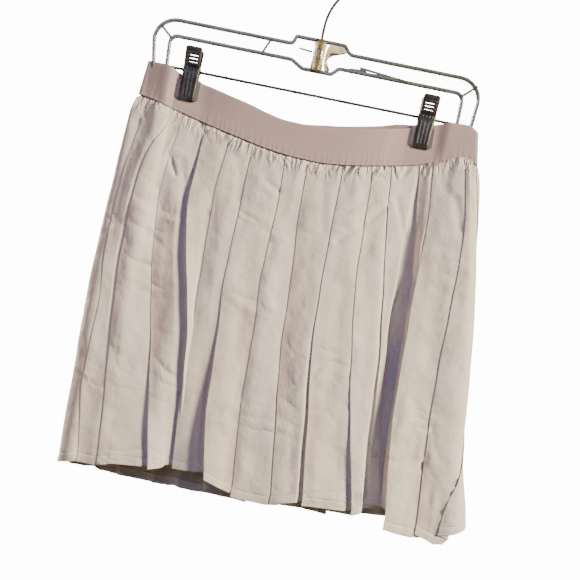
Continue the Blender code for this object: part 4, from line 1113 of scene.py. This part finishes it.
hook_centre = HOOK_RISE + WIRE_RADIUS - HOOK_BEND
neck = np.array([(0.0, SHANK_FOOT), (0.0, 50.0), (0.0, 68.0), (0.2, 76.0), (1.2, 84.0), (3.2, 92.0),
                 (6.4, 100.0), (10.6, 107.0), *arc((0.0, hook_centre), HOOK_BEND, -45, -45, 0)])
run = distance_along(neck)
places = np.linspace(0.0, run[-1], 46)
line = np.column_stack([through(places, run, neck[:, 0]), through(places, run, neck[:, 1])])
line = np.vstack([line[:-1], arc((0.0, hook_centre), HOOK_BEND, -45, 212, 72)])
path = np.column_stack([line[:, 0], np.zeros(len(line)), line[:, 1]])
tip = path[-1] + (path[-1] - path[-2]) / np.linalg.norm(path[-1] - path[-2]) * 0.25
scales = np.ones(len(path) + 1)
scales[0], scales[-2:] = 0.8, (0.97, 0.75)
hook = carried("hook", np.vstack([path, tip]), wire, scales)

# Steel wire, chemically blackened: dark and dull, with a fine grain, and greyer in patches as where
# handling has worn the black thin.
black_steel, tree, shader = new_finish("blackened_steel_wire", Metallic=0.25, Roughness=0.6,
                                       Specular_IOR_Level=0.25)
spot = add_node(tree, "ShaderNodeTexCoord").outputs["Object"]
worn(tree, shader, spot, 60.0, (0.42, "33342f"), (0.72, "5b5c54"))
grained(tree, shader, spot, 850.0, 2.0, 0.1, 0.0002)
for made, node in ((rod, "hanger_rod"), (hook, "hanger_hook")):
    part_of_root(made, black_steel)
    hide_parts(node)


# ---- Clips -----------------------------------------------------------------------------------------
# Each clip is two pressed steel plates that turn on the rod by a pair of ears, pushed shut by a coil
# spring round it, with a soft vinyl pad on each jaw so that it doesn't mark the cloth.
CLIPS = {"left": (-129.0, -130.5), "right": (126.0, 127.5)}    # centre of its jaws, of its handle
PLATE = 0.9
PAD = 1.2
PAD_WIDTH = 25.0
PAD_TOP = -10.0
PAD_FOOT = -33.0
PAD_CENTRE = 2.9
COIL_RADIUS = 3.1
COIL_WIRE = 0.45
CHEEK_RADIUS = 3.6
CHEEK = 0.9

# plate from the tip of its handle to its lip: height, middle of the sheet from the middle plane,
# half width
CLIP_PLATE = np.array((
    (23.5, 8.6, 6.6),
    (22.6, 8.9, 8.1),
    (21.0, 8.7, 8.7),
    (17.0, 8.0, 8.7),
    (12.0, 7.2, 8.6),
    (7.0, 6.1, 8.5),
    (3.4, 4.9, 8.6),
    (1.5, 4.4, 8.9),
    (-8.0, 4.3, 8.6),
    (-31.0, 4.3, 7.7),
    (-33.2, 4.2, 7.5),
    (-34.2, 3.2, 7.3),
), dtype=float)
SLOTS = np.array((18.0, 14.3, 10.6, 6.9))      # heights of the slots across the handle
SLOT_HALF = 0.7
STUDS = np.array((-0.6, -0.2, 0.2, 0.6))        # pressed studs in a row where the plate meets the rod


def clip_plate(name, centre, lean, facing):
    """One pressed plate as a grid: the table's side view, carried across with its edges rolled in.

    Four slots are cut across the handle between raised grips. Four studs and the four ribs that run
    down the jaw are rounded swellings of the sheet.
    """
    low = np.concatenate([np.linspace(-34.2, -31.0, 8), np.linspace(-30.2, 1.5, 60)[:-1],
                          np.linspace(1.5, 23.5, 64)])[::-1]
    order = np.argsort(CLIP_PLATE[:, 0])
    table = CLIP_PLATE[order]
    distance = through(low, table[:, 0], table[:, 1])
    half_width = through(low, table[:, 0], table[:, 2])
    share = np.linspace(-1.0, 1.0, 33)
    middle = centre + (lean - centre) * np.clip((low + 33.0) / 56.5, 0.0, 1.0)
    x = middle[:, None] + half_width[:, None] * share * -facing
    from_slot = np.abs(low[:, None] - SLOTS).min(axis=1)
    grip = np.clip(from_slot - SLOT_HALF, 0.0, 0.6) / 0.6 * (low > 4.0) * (low < 20.0)
    stud = np.exp(-((low[:, None] - 0.2) / 0.8) ** 4) * sum(
        np.exp(-((share - at) / 0.09) ** 4) for at in STUDS)
    across_grip = np.clip((0.8 - np.abs(share)) / 0.1, 0.0, 1.0)
    ribs = 0.5 + 0.5 * np.cos(2 * math.pi * share * 2.1 + math.pi)
    jaw = np.clip((-low - 3.0) / 2.0, 0.0, 1.0) * np.clip((low + 31.0) / 2.0, 0.0, 1.0)
    swell = (0.5 * grip[:, None] * across_grip + 0.6 * stud
             + 0.4 * jaw[:, None] * ribs * np.clip((0.88 - np.abs(share)) / 0.1, 0.0, 1.0))
    rolled = 1.1 * np.clip((np.abs(share) - 0.9) / 0.1, 0.0, 1.0) ** 1.5
    y = (distance[:, None] + swell - rolled) * facing
    z = np.broadcast_to(low[:, None], x.shape)
    middle_low = (low[1:] + low[:-1]) / 2
    in_slot = np.abs(middle_low[:, None] - SLOTS).min(axis=1) < SLOT_HALF
    middle_share = (share[1:] + share[:-1]) / 2
    gaps = in_slot[:, None] & (np.abs(middle_share) < 0.62)
    plate = surface(name, np.stack([x, y, z], axis=2), gaps=gaps)
    wall = plate.modifiers.new("sheet", "SOLIDIFY")
    wall.thickness = PLATE * 0.8 * MM
    wall.offset = 0.0
    edge = plate.modifiers.new("edges", "BEVEL")
    edge.width = 0.15 * MM
    edge.segments = 2
    edge.limit_method = "ANGLE"
    edge.angle_limit = math.radians(50)
    return plate


def clip_ear(name, x, facing):
    """Ear of a plate, square to the rod: a flat ring whose outer edge runs out to the plate.

    Its edge is the farther of a circle round the rod and the box that reaches the plate.
    """
    turn = np.radians(np.arange(48) * 7.5)
    y, z = np.cos(turn), np.sin(turn)
    along_y = np.where(y * facing > 1e-6, 4.6 / np.maximum(y * facing, 1e-6), 0.0)
    limit = np.where(z > 0, 2.6, 3.6) / np.maximum(np.abs(z), 1e-6)
    reach = np.maximum(CHEEK_RADIUS, np.where(y * facing > 0, np.minimum(along_y, limit), 0.0))
    rings = []
    for radius, side in ((1.8, -0.5), (reach - 0.15, -0.5), (reach, -0.3), (reach, 0.3),
                         (reach - 0.15, 0.5), (1.8, 0.5)):
        rings.append(np.column_stack([np.full(48, x + side * CHEEK), radius * y,
                                      ROD_LEVEL + radius * z]))
    ear = surface(name, np.array(rings), round_rows=True, round_columns=True)
    turn_outwards(ear)
    return ear


def clip_spring(name, centre):
    """Coil spring: wire carried along a helix round the rod, eight turns."""
    turn = np.linspace(0.0, 16.0 * math.pi, 225)
    path = np.column_stack([centre - 5.6 + 11.2 * turn / turn[-1], COIL_RADIUS * np.cos(turn),
                            ROD_LEVEL + COIL_RADIUS * np.sin(turn)])
    out = np.column_stack([np.zeros(len(turn)), np.cos(turn), np.sin(turn)])
    coil = np.array([(COIL_WIRE * math.cos(a), COIL_WIRE * math.sin(a))
                     for a in np.radians(np.arange(8) * 45.0)])
    return carried(name, path, coil, side=out)


def clip_pad(name, centre, facing):
    """Soft pad: a rounded rectangle whose edge is rounded too, thin at its rim and full inside."""
    outline = rounded(PAD_WIDTH, PAD_TOP - PAD_FOOT, 3.2, 6)
    middle_z = (PAD_TOP + PAD_FOOT) / 2
    rings = []
    for size, out in ((0.5, 0.5), (0.93, 0.5), (0.985, 0.42), (1.0, 0.15), (1.0, -0.15),
                      (0.985, -0.42), (0.93, -0.5), (0.5, -0.5)):
        rings.append(np.column_stack([centre + size * outline[:, 0],
                                      np.full(len(outline), facing * (PAD_CENTRE + out * PAD)),
                                      middle_z + size * outline[:, 1]]))
    pad = surface(name, np.array(rings), round_columns=True, caps=True)
    turn_outwards(pad)
    return pad


# Pressed steel sheet with a gunmetal nickel plate: dark, greenish and satin, with brighter patches as
# from rubbing.
gunmetal, tree, shader = new_finish("gunmetal_plated_steel", Metallic=0.7, Roughness=0.4)
spot = add_node(tree, "ShaderNodeTexCoord").outputs["Object"]
worn(tree, shader, spot, 120.0, (0.35, "34352c"), (0.7, "5a5b4e"))
grained(tree, shader, spot, 1400.0, 2.0, 0.12, 0.0002)

# Soft PVC, moulded and plasticised: grey-brown with a mottle, and partly see-through.
vinyl, tree, shader = new_finish("soft_clear_vinyl", Roughness=0.35, IOR=1.52, Alpha=0.62)
spot = add_node(tree, "ShaderNodeTexCoord").outputs["Object"]
mottled(tree, shader, spot, 110.0, 3.0, ("6b625a", "877d73"))

for side, (centre, lean) in CLIPS.items():
    for label, facing in (("front", -1), ("back", 1)):
        plate = clip_plate(f"{side}_plate_{label}", centre, lean, facing)
        part_of_root(plate, gunmetal)
        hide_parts(f"clip_{side}_{label}")
        for number, way in enumerate((-1, 1)):
            ear_x = centre + way * (8.3 if facing < 0 else 7.1)
            ear = clip_ear(f"{side}_ear_{label}_{number}", ear_x, facing)
            part_of_root(ear, gunmetal)
        pad = clip_pad(f"{side}_pad_{label}", centre, facing)
        part_of_root(pad, vinyl)
        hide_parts(f"clip_{side}_pad_{label}")
    spring = clip_spring(f"{side}_spring", centre)
    part_of_root(spring, gunmetal)
    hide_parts(f"clip_{side}_spring")


# ---- Plain floor, light and camera ---------------------------------------------------------------
# White paper far below, one large soft lamp high in front on the right, a weak warm one low on the
# left, a weak bluish one in front, and one behind on the left that lights the back as the front is.
PAPER_GLOW = 14.0
ROOM_LIGHT = 0.02
FLOOR_LEVEL = -1700.0


def white_when_seen(tree, dim):
    """Whether a ray looks, straight or through glass, and the strength of glow: full then, else dim."""
    ray = add_node(tree, "ShaderNodeLightPath").outputs
    seen = add_node(tree, "ShaderNodeMath", {0: ray["Is Camera Ray"], 1: ray["Is Transmission Ray"]},
                    operation="MAXIMUM").outputs[0]
    return seen, add_node(tree, "ShaderNodeMapRange", {"Value": seen, "To Min": dim,
                                                       "To Max": PAPER_GLOW}).outputs["Result"]


# Matt background paper: it looks evenly white and passes on only a little of the light on it.
paper, tree, shader = new_finish("white_paper", Roughness=0.9, Specular_IOR_Level=0.1)
shader.inputs["Base Color"].default_value = colour("626262")
shader.inputs["Emission Color"].default_value = colour("ffffff")
tree.links.new(white_when_seen(tree, 0.0)[1], shader.inputs["Emission Strength"])
x, y = np.meshgrid((-3000.0, 3000.0), (-1500.0, 3000.0), indexing="ij")
floor = surface("paper_floor", np.stack([x, y, np.full((2, 2), FLOOR_LEVEL)], axis=2))
floor.data.materials.append(paper)

# The room is dim and bluish, and past the paper's edges it looks as white as the paper.
world = bpy.data.worlds.new("studio")
bpy.context.scene.world = world
world.use_nodes = True
tree = world.node_tree
seen, strength = white_when_seen(tree, ROOM_LIGHT)
tint = add_node(tree, "ShaderNodeMix", {"Factor": seen, "A": colour("dcdcff"),
                                        "B": colour("ffffff")}, data_type="RGBA")
room = tree.nodes["Background"]
tree.links.new(tint.outputs["Result"], room.inputs["Color"])
tree.links.new(strength, room.inputs["Strength"])

aim = mathutils.Vector((0.03, 0.0, -0.36))
for name, where, size, power, tone in (
        ("key_lamp", (3.55, -2.0, 1.3), 1.2, 545.0, "ffecd2"),
        ("warm_lamp", (-1.7, -0.6, -0.6), 0.8, 13.0, "ffd9b0"),
        ("front_lamp", (-0.3, -2.2, 0.6), 1.0, 17.0, "a4a6ff"),
        ("back_lamp", (-2.2, 1.6, 0.8), 1.2, 210.0, "fff3ee")):
    lamp = bpy.data.lights.new(name, "AREA")
    lamp.shape = "DISK"
    lamp.size = size
    lamp.energy = power
    lamp.color = colour(tone)[:3]
    holder = bpy.data.objects.new(name, lamp)
    holder.location = where
    holder.rotation_euler = (aim - mathutils.Vector(where)).to_track_quat("-Z", "Y").to_euler()
    bpy.context.scene.collection.objects.link(holder)

roll = math.radians(11.5)
lens = bpy.data.cameras.new("camera")
lens.angle = math.radians(36.2)
camera = bpy.data.objects.new("camera", lens)
camera.matrix_world = mathutils.Matrix((
    (math.cos(roll), -math.sin(roll), 0.0, 0.0201),
    (0.0, 0.0, -1.0, -0.95),
    (math.sin(roll), math.cos(roll), 0.0, -0.3578),
    (0.0, 0.0, 0.0, 1.0)))
bpy.context.scene.collection.objects.link(camera)
bpy.context.scene.camera = camera
